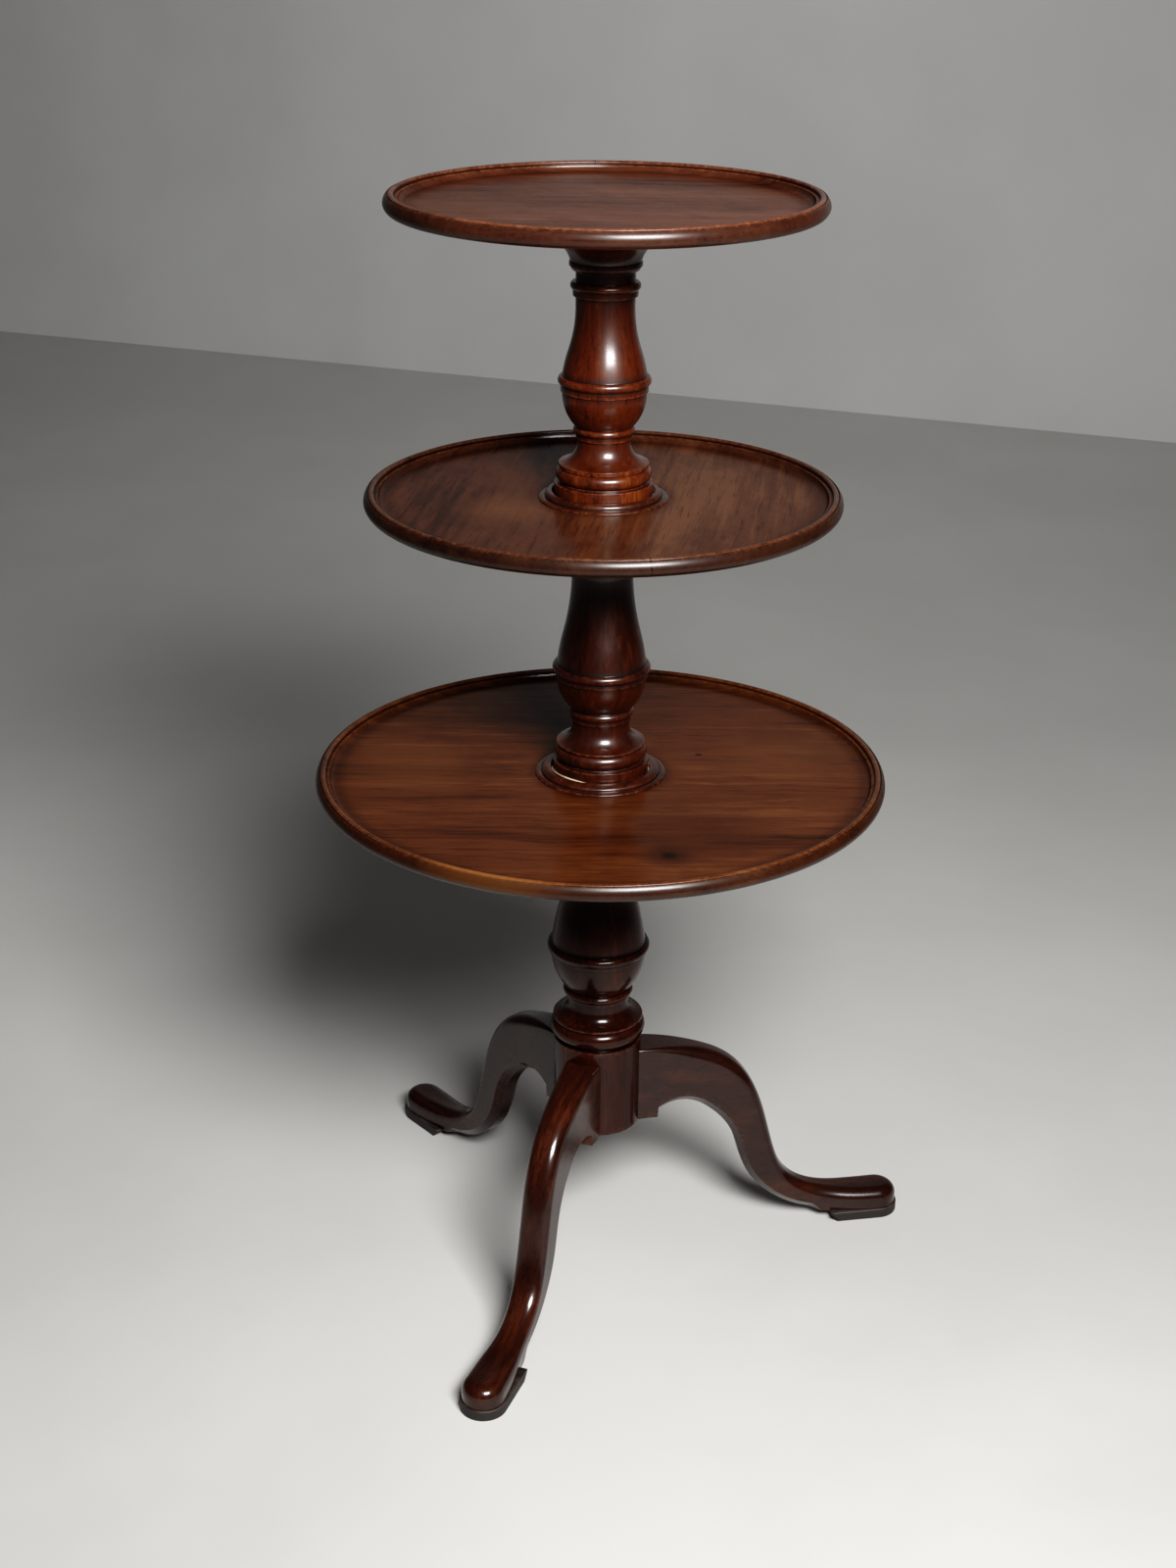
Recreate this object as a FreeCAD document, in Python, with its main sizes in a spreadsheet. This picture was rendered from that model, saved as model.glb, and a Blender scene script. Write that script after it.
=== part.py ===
import FreeCAD, Part
import math
import os
import Sketcher

# Three-tier dumb waiter in mahogany: a tripod of cabriole legs dovetailed into a turned
# column, and three round dished trays that revolve on the column's spigots.
# The origin is on the column's axis at the floor, +Z is up and the front leg points to -Y.

# Each pillar is a stack of turned members, named from its foot to its top.
lower_plinth_radius = 48.2
lower_plinth_height = 104
lower_quirk_height = 3
lower_torus_radius = 52.4
lower_torus_height = 22
lower_fillet_height = 2.5
lower_scotia_radius = 48.3
lower_scotia_height = 16.5
lower_neck_radius = 33.4
lower_neck_height = 6
lower_ring_fillet_height = 4
lower_ring_swell = 3.5
lower_ring_height = 9
lower_cup_radius = 35.5
lower_cup_height = 41
lower_belly_radius = 51.4
lower_belt_fillet_height = 4
lower_belt_swell = 3
lower_belt_height = 10
lower_shoulder_radius = 43.5
lower_shoulder_height = 42
lower_throat_radius = 36
lower_throat_height = 66
lower_collarino_height = 8
lower_astragal_fillet_height = 7
lower_astragal_swell = 2.4
lower_astragal_height = 10
lower_band_height = 12
lower_echinus_height = 7
lower_annulet_height = 5
lower_capital_radius = 58
lower_cavetto_height = 21
lower_abacus_height = 9
middle_plinth_radius = 50.2
middle_plinth_height = 15
middle_quirk_height = 1.5
middle_torus_radius = 48.8
middle_torus_height = 16
middle_fillet_height = 2
middle_scotia_radius = 45.5
middle_scotia_height = 18.5
middle_neck_radius = 30
middle_neck_height = 7
middle_ring_fillet_height = 5
middle_ring_swell = 2.4
middle_ring_height = 8
middle_cup_radius = 32
middle_cup_height = 34
middle_belly_radius = 46.6
middle_belt_fillet_height = 5
middle_belt_swell = 3.1
middle_belt_height = 9.5
middle_shoulder_radius = 40.4
middle_shoulder_height = 33
middle_throat_radius = 31.6
middle_throat_height = 57.5
middle_collarino_height = 8
middle_astragal_fillet_height = 6.5
middle_astragal_swell = 2.2
middle_astragal_height = 9.5
middle_band_height = 11
middle_echinus_height = 6.5
middle_annulet_height = 4.5
middle_capital_radius = 52
middle_cavetto_height = 20
middle_abacus_height = 9
upper_plinth_radius = 49.9
upper_plinth_height = 15
upper_quirk_height = 1.5
upper_torus_radius = 48.5
upper_torus_height = 14.5
upper_fillet_height = 4
upper_scotia_radius = 44.2
upper_scotia_height = 20
upper_neck_radius = 26.7
upper_neck_height = 4.5
upper_ring_fillet_height = 5.5
upper_ring_swell = 2.7
upper_ring_height = 7
upper_cup_radius = 29
upper_cup_height = 35
upper_belly_radius = 42.3
upper_belt_fillet_height = 6.5
upper_belt_swell = 2.8
upper_belt_height = 9
upper_shoulder_radius = 36.5
upper_shoulder_height = 24.5
upper_throat_radius = 29.4
upper_throat_height = 50
upper_collarino_height = 4
upper_astragal_fillet_height = 6
upper_astragal_swell = 2.5
upper_astragal_height = 8
upper_band_height = 9.5
upper_echinus_height = 5.5
upper_annulet_height = 4
upper_capital_radius = 49
upper_cavetto_height = 19
upper_abacus_height = 8
# How deep the turner cuts: the quirk beside a torus, the steps out to the fillets under ring,
# belt, astragal and cavetto, the hollows of scotia and cavetto, the fullness of the rounds.
turning_quirk_depth = 5
turning_fillet_step = 1.2
turning_scotia_hollow = 4.6
turning_ring_step = 1.6
turning_cup_fullness = 3.8
turning_belt_step = 1.5
turning_shoulder_fullness = 0.6
turning_astragal_step = 2.8
turning_echinus_spread = 5.4
turning_echinus_fullness = 1.3
turning_annulet_step = 1.2
turning_cavetto_hollow = 2.6
# The pillars are joined by spigots, glued in their sockets, that also carry the trays.
spigot_radius = 17
spigot_seat = 40
spigot_glue_gap = 0.15
spigot_running_gap = 0.3
spigot_end_gap = 0.5
washer_thickness = 2
washer_inset = 5
washer_show = 1.4

# Trays: the moulded rim runs in from the edge as bead, quirk, roll, step, fillet and cove.
lower_tray_radius = 300
lower_tray_board = 10
middle_tray_radius = 241.2
middle_tray_board = 9
top_tray_radius = 214.4
top_tray_board = 9
rim_height = 18.5
rim_under_width = 10
rim_edge_height = 8.5
rim_edge_swell = 2.6
rim_bead_width = 4
rim_bead_swell = 1
rim_quirk_width = 1.2
rim_quirk_depth = 1.6
rim_roll_width = 5.4
rim_roll_rise = 1.2
rim_step = 2.6
rim_fillet_width = 4
rim_cove_width = 6
rim_cove_hollow = 1.6
lower_collar_width = 9.8
middle_collar_width = 6.8
collar_gap = 2.3
collar_height = 8
collar_lip_width = 2.5
collar_round = 1
collar_side_height = 2.2
collar_toe_width = 6.5
collar_toe_height = 2.4
collar_toe_round = 0.8
bearer_radius = 80
bearer_thickness = 18
bearer_edge_height = 9
bearer_edge_width = 8
bearer_edge_swell = 2.2
bearer_cap = 3.5
bearer_screw_inset = 16

# The leg in its own upright plane: reach from the column's axis, height over the floor.
# Its back runs from the toe to the root, drawn towards instep, ankle, knee and shoulder.
hub_bottom = 160
leg_first_angle = 30
leg_root_width = 40
leg_root_margin = 16
leg_shoulder_reach = 127
leg_knee_inset = 13
leg_knee_drop = 49
leg_ankle_reach = 202
leg_ankle_height = 93.5
leg_instep_run = 32
leg_foot_run = 94
leg_toe_length = 30
leg_toe_height = 35
leg_toe_width = 46
leg_waist_reach = 238
leg_waist_width = 33
# Its underside runs from a spur through an arch, then follows the knee and ankle to the heel.
leg_spur_reach = 67
leg_spur_height = 4
leg_arch_span = 53
leg_arch_climb = 7
leg_arch_rise = 9
leg_calf_inset = 23
leg_shank_inset = 50
leg_shank_drop = 19.4
leg_heel_run = 42.5
leg_heel_lift = 3.4
leg_sole_length = 90
leg_back_round = 13
leg_under_bevel = 9
dovetail_neck = 15
dovetail_spread = 22
dovetail_depth = 18
dovetail_stop = 8
dovetail_gap = 0.2
pad_thickness = 12
pad_overhang = 2
pad_bevel = 9
pad_setback = 8
brace_thickness = 3
brace_centre_radius = 30
brace_arm_width = 22
brace_end_margin = 8
screw_head_radius = 4.4
screw_shank_radius = 2.1
screw_length = 22
screw_point = 5
screw_gap = 0.1
screw_spur_margin = 12

doc = FreeCAD.newDocument("tiered_table")
sheet = doc.addObject("Spreadsheet::Sheet", "sizes")
aliases = [name for name, value in globals().items() if isinstance(value, (int, float))]
for row, alias in enumerate(aliases, start=1):
    cell = "B" + str(row)
    sheet.set("A" + str(row), alias)
    sheet.set(cell, str(globals()[alias]))
    sheet.setAlias(cell, alias)
doc.recompute()


class Dim:
    """A size with both its expression on the sheet and its present value."""

    def __init__(self, text, value):
        self.text = text
        self.value = value

    def joined(self, sign, other, value):
        other_text = other.text if isinstance(other, Dim) else repr(other)
        return Dim("(" + self.text + " " + sign + " " + other_text + ")", value)

    def __add__(self, other):
        return self.joined("+", other, self.value + number(other))

    def __sub__(self, other):
        return self.joined("-", other, self.value - number(other))

    def __mul__(self, other):
        return self.joined("*", other, self.value * number(other))

    def __truediv__(self, other):
        return self.joined("/", other, self.value / number(other))

    def __neg__(self):
        return Dim("(-" + self.text + ")", -self.value)

    def root(self):
        return Dim("sqrt(" + self.text + ")", math.sqrt(self.value))


def number(size):
    return size.value if isinstance(size, Dim) else size


def size(alias):
    return Dim("sizes." + alias, float(sheet.get(alias)))


ZERO = Dim("0", 0.0)
WHOLE_TURN = math.degrees(math.tau)
RIGHT_ANGLE = WHOLE_TURN / 4
LEG_SIDES = ("right", "left", "front")
BEARER_SCREWS = 4
UPRIGHT = FreeCAD.Vector(0, 0, 1)


def bind(thing, prop, dim):
    thing.setExpression(prop, dim.text)


def new_body(label, z=ZERO, turn=None):
    """A sub-part whose own origin stands on the column's axis at height z, turned about it."""
    body = doc.addObject("PartDesign::Body", label)
    body.Label = label
    if turn is not None:
        body.Placement = FreeCAD.Placement(FreeCAD.Vector(), FreeCAD.Rotation(UPRIGHT, turn.value))
        bind(body, "Placement.Rotation.Angle", turn)
    bind(body, "Placement.Base.z", z)
    return body


def origin_feature(body, role):
    return next(f for f in body.Origin.OriginFeatures if f.Role == role)


class Outline:
    """A sketch of closed loops on one of a body's own planes, drawn point by point."""

    # the sketcher's own numbers: a curve's points, the axis that a distance counts from, the origin
    START, END, CENTRE = 1, 2, 3
    AXIS_FOR = {"DistanceX": -2, "DistanceY": -1}
    ORIGIN_POINT = (AXIS_FOR["DistanceY"], START)

    def __init__(self, body, plane, name, reach=ZERO, lift=ZERO):
        self.sketch = body.newObject("Sketcher::SketchObject", body.Label + "_" + name)
        self.sketch.AttachmentSupport = (origin_feature(body, plane), [""])
        self.sketch.MapMode = "FlatFace"
        bind(self.sketch, "AttachmentOffset.Base.x", reach)
        bind(self.sketch, "AttachmentOffset.Base.z", lift)
        self.last = None

    def fix(self, kind, dim, *where):
        index = self.sketch.addConstraint(Sketcher.Constraint(kind, *where, dim.value))
        bind(self.sketch, "Constraints[" + str(index) + "]", dim)

    def place(self, geometry, end, x, y):
        for kind, dim in (("DistanceX", x), ("DistanceY", y)):
            if dim is ZERO:
                axis = self.AXIS_FOR[kind]
                self.sketch.addConstraint(Sketcher.Constraint("PointOnObject", geometry, end, axis))
            else:
                self.fix(kind, dim, *self.ORIGIN_POINT, geometry, end)

    def begin(self, x, y):
        self.at = (x, y)
        self.opening = (x, y)
        self.first = None
        self.last = None
        return self

    def add(self, shape, entry, leave, x, y, tie="Coincident"):
        geometry = self.sketch.addGeometry(shape, False)
        if self.last is None:
            self.first = (geometry, entry)
            self.place(geometry, entry, *self.at)
        else:
            self.sketch.addConstraint(Sketcher.Constraint(tie, *self.last, geometry, entry))
        closes = x is self.opening[0] and y is self.opening[1]
        if closes:
            self.sketch.addConstraint(Sketcher.Constraint("Coincident", geometry, leave, *self.first))
        else:
            self.place(geometry, leave, x, y)
        self.at = (x, y)
        self.last = (geometry, leave)
        return geometry

    def points(self, x, y):
        here = FreeCAD.Vector(self.at[0].value, self.at[1].value, 0)
        return here, FreeCAD.Vector(x.value, y.value, 0)

    def line(self, x, y):
        here, there = self.points(x, y)
        self.add(Part.LineSegment(here, there), self.START, self.END, x, y)
        step = there - here
        self.heading = math.atan2(step.y, step.x)
        return self

    def turned_by(self, x, y, half_turn, tie):
        """An arc that turns left by twice half_turn, or right where it is negative."""
        here, there = self.points(x, y)
        chord = there - here
        bearing = math.atan2(chord.y, chord.x)
        radius = chord.Length / 2 / abs(math.sin(half_turn))
        side = math.copysign(math.pi / 2, half_turn)
        towards = bearing - half_turn + side
        centre = here + FreeCAD.Vector(math.cos(towards), math.sin(towards), 0) * radius
        angles = [math.atan2(p.y - centre.y, p.x - centre.x) for p in (here, there)]
        ends = (self.START, self.END)
        if half_turn < 0:
            angles.reverse()
            ends = (self.END, self.START)
        circle = Part.Circle(centre, UPRIGHT, radius)
        geometry = self.add(Part.ArcOfCircle(circle, *angles), *ends, x, y, tie)
        self.heading = bearing + half_turn
        return geometry

    def arc(self, x, y, rise, left):
        """An arc whose crown stands off its chord by rise. Turning left, it bulges to the right."""
        across = x - self.at[0]
        along = y - self.at[1]
        middle = ((x + self.at[0]) / 2, (y + self.at[1]) / 2)
        chord = (across * across + along * along).root()
        half_turn = 2 * math.atan2(2 * rise.value, chord.value)
        geometry = self.turned_by(x, y, half_turn if left else -half_turn, "Coincident")
        # the centre lies on the chord's mid-normal, this share of the chord's length from the chord
        share = (rise * rise - chord * chord / 4) / (rise * chord * 2)
        if not left:
            share = -share
        if abs(along.value) > abs(across.value):
            self.fix("DistanceX", middle[0] + along * share, *self.ORIGIN_POINT, geometry, self.CENTRE)
        else:
            self.fix("DistanceY", middle[1] - across * share, *self.ORIGIN_POINT, geometry, self.CENTRE)
        return self

    def swell(self, x, y, rise):
        return self.arc(x, y, rise, True)

    def hollow(self, x, y, rise):
        return self.arc(x, y, rise, False)

    def flow(self, x, y):
        """An arc that runs on smoothly from the stretch before it."""
        here, there = self.points(x, y)
        chord = there - here
        half_turn = math.atan2(chord.y, chord.x) - self.heading
        half_turn = math.remainder(half_turn, 2 * math.pi)
        self.turned_by(x, y, half_turn, "Tangent")
        return self

    def level(self, x, y, level_at):
        """An arc that runs along the sketch's X axis at one of its ends, the one at level_at."""
        here, there = self.points(x, y)
        chord = there - here
        half_turn = math.atan(chord.y / chord.x)
        if level_at is x:
            half_turn = -half_turn
        geometry = self.turned_by(x, y, half_turn, "Coincident")
        self.fix("DistanceX", level_at, *self.ORIGIN_POINT, geometry, self.CENTRE)
        return self

    def curve(self, run, *poles):
        """A cubic curve that leaves smoothly, its first pole a run further along X, and ends at its last."""
        lead = self.at[0] + run
        vectors = [FreeCAD.Vector(x.value, y.value, 0) for x, y in (self.at, *poles)]
        step = FreeCAD.Vector(run.value, run.value * math.tan(self.heading), 0)
        vectors.insert(1, vectors[0] + step)
        spline = Part.BSplineCurve()
        spline.buildFromPoles(vectors)
        geometry = self.add(spline, self.START, self.END, *poles[-1], "Tangent")
        knobs = []
        for index, vector in enumerate(vectors):
            knob = self.sketch.addGeometry(Part.Circle(vector, UPRIGHT, 1), True)
            self.sketch.addConstraint(Sketcher.Constraint("Weight", knob, 1))
            self.sketch.addConstraint(Sketcher.Constraint(
                "InternalAlignment:Sketcher::BSplineControlPoint", knob, self.CENTRE, geometry, index))
            knobs.append(knob)
        self.fix("DistanceX", lead, *self.ORIGIN_POINT, knobs[1], self.CENTRE)
        for knob, (x, y) in zip(knobs[2:], poles[:-1]):
            self.place(knob, self.CENTRE, x, y)
        return self

    def close(self):
        return self.line(*self.opening)


def revolve(body, outline):
    feature = body.newObject("PartDesign::Revolution", body.Label + "_turning")
    feature.Profile = outline.sketch
    feature.ReferenceAxis = (outline.sketch, ["V_Axis"])
    feature.Angle = WHOLE_TURN
    return feature


def pad(body, outline, length, symmetric=False):
    feature = body.newObject("PartDesign::Pad", body.Label + "_pad")
    feature.Profile = outline.sketch
    bind(feature, "Length", length)
    if symmetric:
        feature.SideType = "Symmetric"
    return feature


def pocket(body, outline, length=None):
    """Cut away from the sketch's plane upwards by a length, or through to both sides of it."""
    feature = body.newObject("PartDesign::Pocket", body.Label + "_cut")
    feature.Profile = outline.sketch
    feature.Reversed = True
    if length is None:
        feature.Type = "ThroughAll"
        feature.SideType = "Symmetric"
    else:
        bind(feature, "Length", length)
    return feature


def rounds(body, name, reaches, radius):
    """A sketch of circles along the body's own X axis."""
    outline = Outline(body, "XY_Plane", name)
    for reach in reaches:
        centre = FreeCAD.Vector(reach.value, 0, 0)
        geometry = outline.sketch.addGeometry(Part.Circle(centre, UPRIGHT, radius.value), False)
        outline.place(geometry, Outline.CENTRE, reach, ZERO)
        outline.fix("Radius", radius, geometry)
    return outline


MEMBERS = ("plinth", "quirk", "torus", "fillet", "scotia", "neck", "ring_fillet", "ring", "cup",
           "belt_fillet", "belt", "shoulder", "throat", "collarino", "astragal_fillet", "astragal",
           "band", "echinus", "annulet", "cavetto", "abacus")
washer = size("washer_thickness")
spigot = size("spigot_radius")
socket = spigot + size("spigot_glue_gap")
bore = spigot + size("spigot_running_gap")


def stack_height(name):
    total = ZERO
    for member in MEMBERS:
        total = total + size(name + "_" + member + "_height")
    return total


def pillar(name, base, spigot_length, socket_depth, turn):
    """A turned pillar: its members in order from the foot, then the spigot and the socket."""
    body = new_body(name + "_pillar", base, turn)
    level = {"foot": ZERO}
    height = ZERO
    for member in MEMBERS:
        height = height + size(name + "_" + member + "_height")
        level[member] = height

    def radius(member):
        return size(name + "_" + member + "_radius")

    plinth = radius("plinth")
    quirk = plinth - size("turning_quirk_depth")
    torus_rise = size(name + "_torus_height") / 2
    torus = radius("torus") - torus_rise
    scotia = radius("scotia")
    fillet = scotia + size("turning_fillet_step")
    neck = radius("neck")
    cup = radius("cup")
    belly = radius("belly")
    throat = radius("throat")
    echinus = throat + size("turning_echinus_spread")
    annulet = echinus + size("turning_annulet_step")
    capital = radius("capital")
    shape = Outline(body, "XZ_Plane", "outline")

    def bead(member, start, under):
        """A bead on a fillet, both a step wider than the turning under them."""
        wide = under + size("turning_" + member + "_step")
        shape.line(wide, level[start])
        shape.line(wide, level[member + "_fillet"])
        shape.swell(wide, level[member], size(name + "_" + member + "_swell"))

    if socket_depth is None:
        shape.begin(ZERO, ZERO)
    else:
        shape.begin(ZERO, socket_depth).line(socket, socket_depth).line(socket, ZERO)
    shape.line(plinth, ZERO)
    shape.line(plinth, level["plinth"])
    shape.line(quirk, level["plinth"])
    shape.line(quirk, level["quirk"])
    shape.line(torus, level["quirk"])
    shape.swell(torus, level["torus"], torus_rise)
    shape.line(fillet, level["torus"])
    shape.line(fillet, level["fillet"])
    shape.line(scotia, level["fillet"])
    shape.hollow(neck, level["scotia"], size("turning_scotia_hollow"))
    shape.line(neck, level["neck"])
    bead("ring", "neck", neck)
    shape.line(cup, level["ring"])
    shape.swell(belly, level["cup"], size("turning_cup_fullness"))
    bead("belt", "cup", belly)
    shape.line(belly, level["belt"])
    shape.swell(radius("shoulder"), level["shoulder"], size("turning_shoulder_fullness"))
    shape.flow(throat, level["throat"])
    shape.line(throat, level["collarino"])
    bead("astragal", "collarino", throat)
    shape.line(throat, level["astragal"])
    shape.line(throat, level["band"])
    shape.swell(echinus, level["echinus"], size("turning_echinus_fullness"))
    shape.line(annulet, level["echinus"])
    shape.line(annulet, level["annulet"])
    shape.line(echinus, level["annulet"])
    shape.hollow(capital, level["cavetto"], size("turning_cavetto_hollow"))
    shape.line(capital, level["abacus"])
    shape.line(spigot, level["abacus"])
    shape.line(spigot, level["abacus"] + spigot_length)
    shape.line(ZERO, level["abacus"] + spigot_length)
    shape.close()
    revolve(body, shape)
    return body


def tray(name, base, pierced):
    """A dished round tray turned from one board, with its moulded rim."""
    body = new_body(name + "_tray", base)
    edge = size(name + "_tray_radius")
    floor = size(name + "_tray_board")
    rim = size("rim_height")
    bead = edge - size("rim_bead_width")
    roll_outer = bead - size("rim_quirk_width")
    roll_inner = roll_outer - size("rim_roll_width")
    fillet = roll_inner - size("rim_fillet_width")
    cove = fillet - size("rim_cove_width")
    crown = rim - size("rim_roll_rise")
    quirk = crown - size("rim_quirk_depth")
    step = crown - size("rim_step")
    inner = bore if pierced else ZERO
    shape = Outline(body, "XZ_Plane", "outline")
    shape.begin(inner, ZERO)
    shape.line(edge - size("rim_under_width"), ZERO)
    shape.swell(edge, size("rim_edge_height"), size("rim_edge_swell"))
    shape.swell(bead, crown, size("rim_bead_swell"))
    shape.line(bead, quirk)
    shape.line(roll_outer, quirk)
    shape.line(roll_outer, crown)
    shape.swell(roll_inner, crown, size("rim_roll_rise"))
    shape.line(roll_inner, step)
    shape.line(fillet, step)
    shape.hollow(cove, floor, size("rim_cove_hollow"))
    shape.line(inner, floor)
    shape.close()
    revolve(body, shape)
    return body


def collar(name, base, plinth):
    """A ring glued to the tray round the next pillar's plinth: a toe, a side, a round and a lip."""
    body = new_body(name + "_collar", base)
    inner = plinth + size("collar_gap")
    side = inner + size(name + "_collar_width")
    outer = side + size("collar_toe_width")
    toe = size("collar_toe_height")
    top = size("collar_height")
    shape = Outline(body, "XZ_Plane", "outline")
    shape.begin(inner, ZERO)
    shape.line(outer, ZERO)
    shape.line(outer, toe / 2)
    shape.swell(side, toe, size("collar_toe_round"))
    shape.line(side, toe + size("collar_side_height"))
    shape.swell(inner + size("collar_lip_width"), top, size("collar_round"))
    shape.line(inner, top)
    shape.close()
    revolve(body, shape)
    return body


def seat_washer(label, base, outer):
    """A soft washer that a tray or a plinth turns on."""
    body = new_body(label, base)
    shape = Outline(body, "XZ_Plane", "outline")
    shape.begin(bore, ZERO)
    shape.line(outer, ZERO)
    shape.line(outer, washer)
    shape.line(bore, washer)
    shape.close()
    revolve(body, shape)
    return body


# The column, from the floor up: each level follows from the pieces under it.
hub_foot = size("hub_bottom")
lower_seat = hub_foot + stack_height("lower")
lower_tray_base = lower_seat + washer
lower_floor = lower_tray_base + size("lower_tray_board")
middle_base = lower_floor + washer
middle_seat = middle_base + stack_height("middle")
middle_tray_base = middle_seat + washer
middle_floor = middle_tray_base + size("middle_tray_board")
upper_base = middle_floor + washer
upper_seat = upper_base + stack_height("upper")
bearer_base = upper_seat + washer
top_tray_base = bearer_base + size("bearer_thickness")
bearer_socket = size("bearer_thickness") - size("bearer_cap")
seat = size("spigot_seat")
first_leg = size("leg_first_angle")

lower_pillar = pillar("lower", hub_foot, middle_base - lower_seat + seat, None, first_leg)
middle_pillar = pillar("middle", middle_base, upper_base - middle_seat + seat, seat, ZERO)
upper_pillar = pillar("upper", upper_base, washer + bearer_socket - size("spigot_end_gap"), seat, ZERO)
lower_tray = tray("lower", lower_tray_base, True)
middle_tray = tray("middle", middle_tray_base, True)
top_tray = tray("top", top_tray_base, False)
lower_collar = collar("lower", lower_floor, size("middle_plinth_radius"))
middle_collar = collar("middle", middle_floor, size("upper_plinth_radius"))
inset = size("washer_inset")
show = size("washer_show")
washers = [
    seat_washer("lower_seat_washer", lower_seat, size("lower_capital_radius") - inset),
    seat_washer("lower_plinth_washer", lower_floor, size("middle_plinth_radius") + show),
    seat_washer("middle_seat_washer", middle_seat, size("middle_capital_radius") - inset),
    seat_washer("middle_plinth_washer", middle_floor, size("upper_plinth_radius") + show),
    seat_washer("top_seat_washer", upper_seat, size("upper_capital_radius") - inset),
]

# The hub: three flats for the legs' shoulders, and a dovetail socket in each from below.
root = size("leg_root_width")
hub = size("lower_plinth_radius")
doc.recompute()
half_root = root / 2
flat_reach = (hub * hub - half_root * half_root).root()
dovetail_gap = size("dovetail_gap")
dovetail_foot = flat_reach - size("dovetail_depth")
toe_top_reach = size("leg_ankle_reach") + size("leg_instep_run") + size("leg_foot_run")
toe_reach = toe_top_reach + size("leg_toe_length")
heel_reach = toe_reach - size("leg_sole_length")
root_height = size("lower_plinth_height") - size("leg_root_margin")
dovetail_height = root_height - size("dovetail_stop")


def dovetail(outline, gap, mouth):
    """The dovetail's plan: narrow at the flat, spread at its foot, and run out to the mouth."""
    narrow = size("dovetail_neck") / 2 + gap
    spread = size("dovetail_spread") / 2 + gap
    foot = dovetail_foot - gap
    outline.begin(mouth, -narrow)
    outline.line(mouth, narrow)
    outline.line(flat_reach, narrow)
    outline.line(foot, spread)
    outline.line(foot, -spread)
    outline.line(flat_reach, -narrow)
    outline.close()
    return outline


flat_cut = Outline(lower_pillar, "XY_Plane", "flat")
flat_cut.begin(flat_reach, -half_root).line(hub, -half_root)
flat_cut.line(hub, half_root).line(flat_reach, half_root).close()
hub_flat = pocket(lower_pillar, flat_cut, root_height)
socket_cut = dovetail(Outline(lower_pillar, "XY_Plane", "socket"), dovetail_gap, hub)
hub_socket = pocket(lower_pillar, socket_cut, dovetail_height + dovetail_gap)
screw_length = size("screw_length")
shank = size("screw_shank_radius")
pilot = shank + size("screw_gap")
brace = size("brace_thickness")
inner_screw = flat_reach - size("dovetail_depth") / 2
outer_screw = size("leg_spur_reach") - size("screw_spur_margin")


def around(body, originals, count):
    """Repeat features evenly round the column's axis."""
    feature = body.newObject("PartDesign::PolarPattern", body.Label + "_pattern")
    feature.Originals = originals
    feature.Axis = (origin_feature(body, "Z_Axis"), [""])
    feature.Angle = WHOLE_TURN
    feature.Occurrences = count
    body.Tip = feature
    return feature


def countersunk(body, outline):
    """Holes for countersunk screws, whose heads lie flush with the underside."""
    doc.recompute()
    feature = body.newObject("PartDesign::Hole", body.Label + "_holes")
    feature.Profile = outline.sketch
    feature.Reversed = True
    feature.DepthType = "ThroughAll"
    feature.HoleCutType = "Countersink"
    bind(feature, "Diameter", pilot * 2)
    bind(feature, "HoleCutDiameter", (size("screw_head_radius") + size("screw_gap")) * 2)
    feature.HoleCutCountersinkAngle = RIGHT_ANGLE
    return feature


hub_pilot = pocket(lower_pillar, rounds(lower_pillar, "pilot", [ZERO], pilot), screw_length - brace)
doc.recompute()
around(lower_pillar, [hub_flat, hub_socket], len(LEG_SIDES))


def leg_side(body):
    """The leg sawn from the side: root, spur, arch and calf below, instep, ankle, knee and back above."""
    sole = size("pad_thickness")
    toe_height = size("leg_toe_height")
    waste = toe_reach + size("leg_toe_length")
    root_top = hub_foot + root_height
    ankle = (size("leg_ankle_reach"), size("leg_ankle_height"))
    knee = (ankle[0] - size("leg_knee_inset"), root_top - size("leg_knee_drop"))
    spur = size("leg_spur_reach")
    arch = spur + size("leg_arch_span")
    calf_run = knee[0] - size("leg_calf_inset") - arch
    shank = (ankle[0] - size("leg_shank_inset"), ankle[1] - size("leg_shank_drop"))
    hollow_heel = (heel_reach - size("leg_heel_run"), sole + size("leg_heel_lift"))
    shape = Outline(body, "XZ_Plane", "side")
    shape.begin(flat_reach, hub_foot)
    shape.line(spur, hub_foot)
    shape.line(spur, hub_foot + size("leg_spur_height"))
    shape.hollow(arch, hub_foot + size("leg_arch_climb"), size("leg_arch_rise"))
    shape.curve(calf_run, shank, hollow_heel, (heel_reach, sole))
    shape.line(waste, sole)
    shape.line(waste, toe_height)
    shape.line(toe_top_reach, toe_height)
    shoulder = (size("leg_shoulder_reach"), root_top)
    shape.curve(-size("leg_foot_run"), ankle, knee, shoulder, (flat_reach, root_top))
    shape.close()
    return shape


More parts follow.
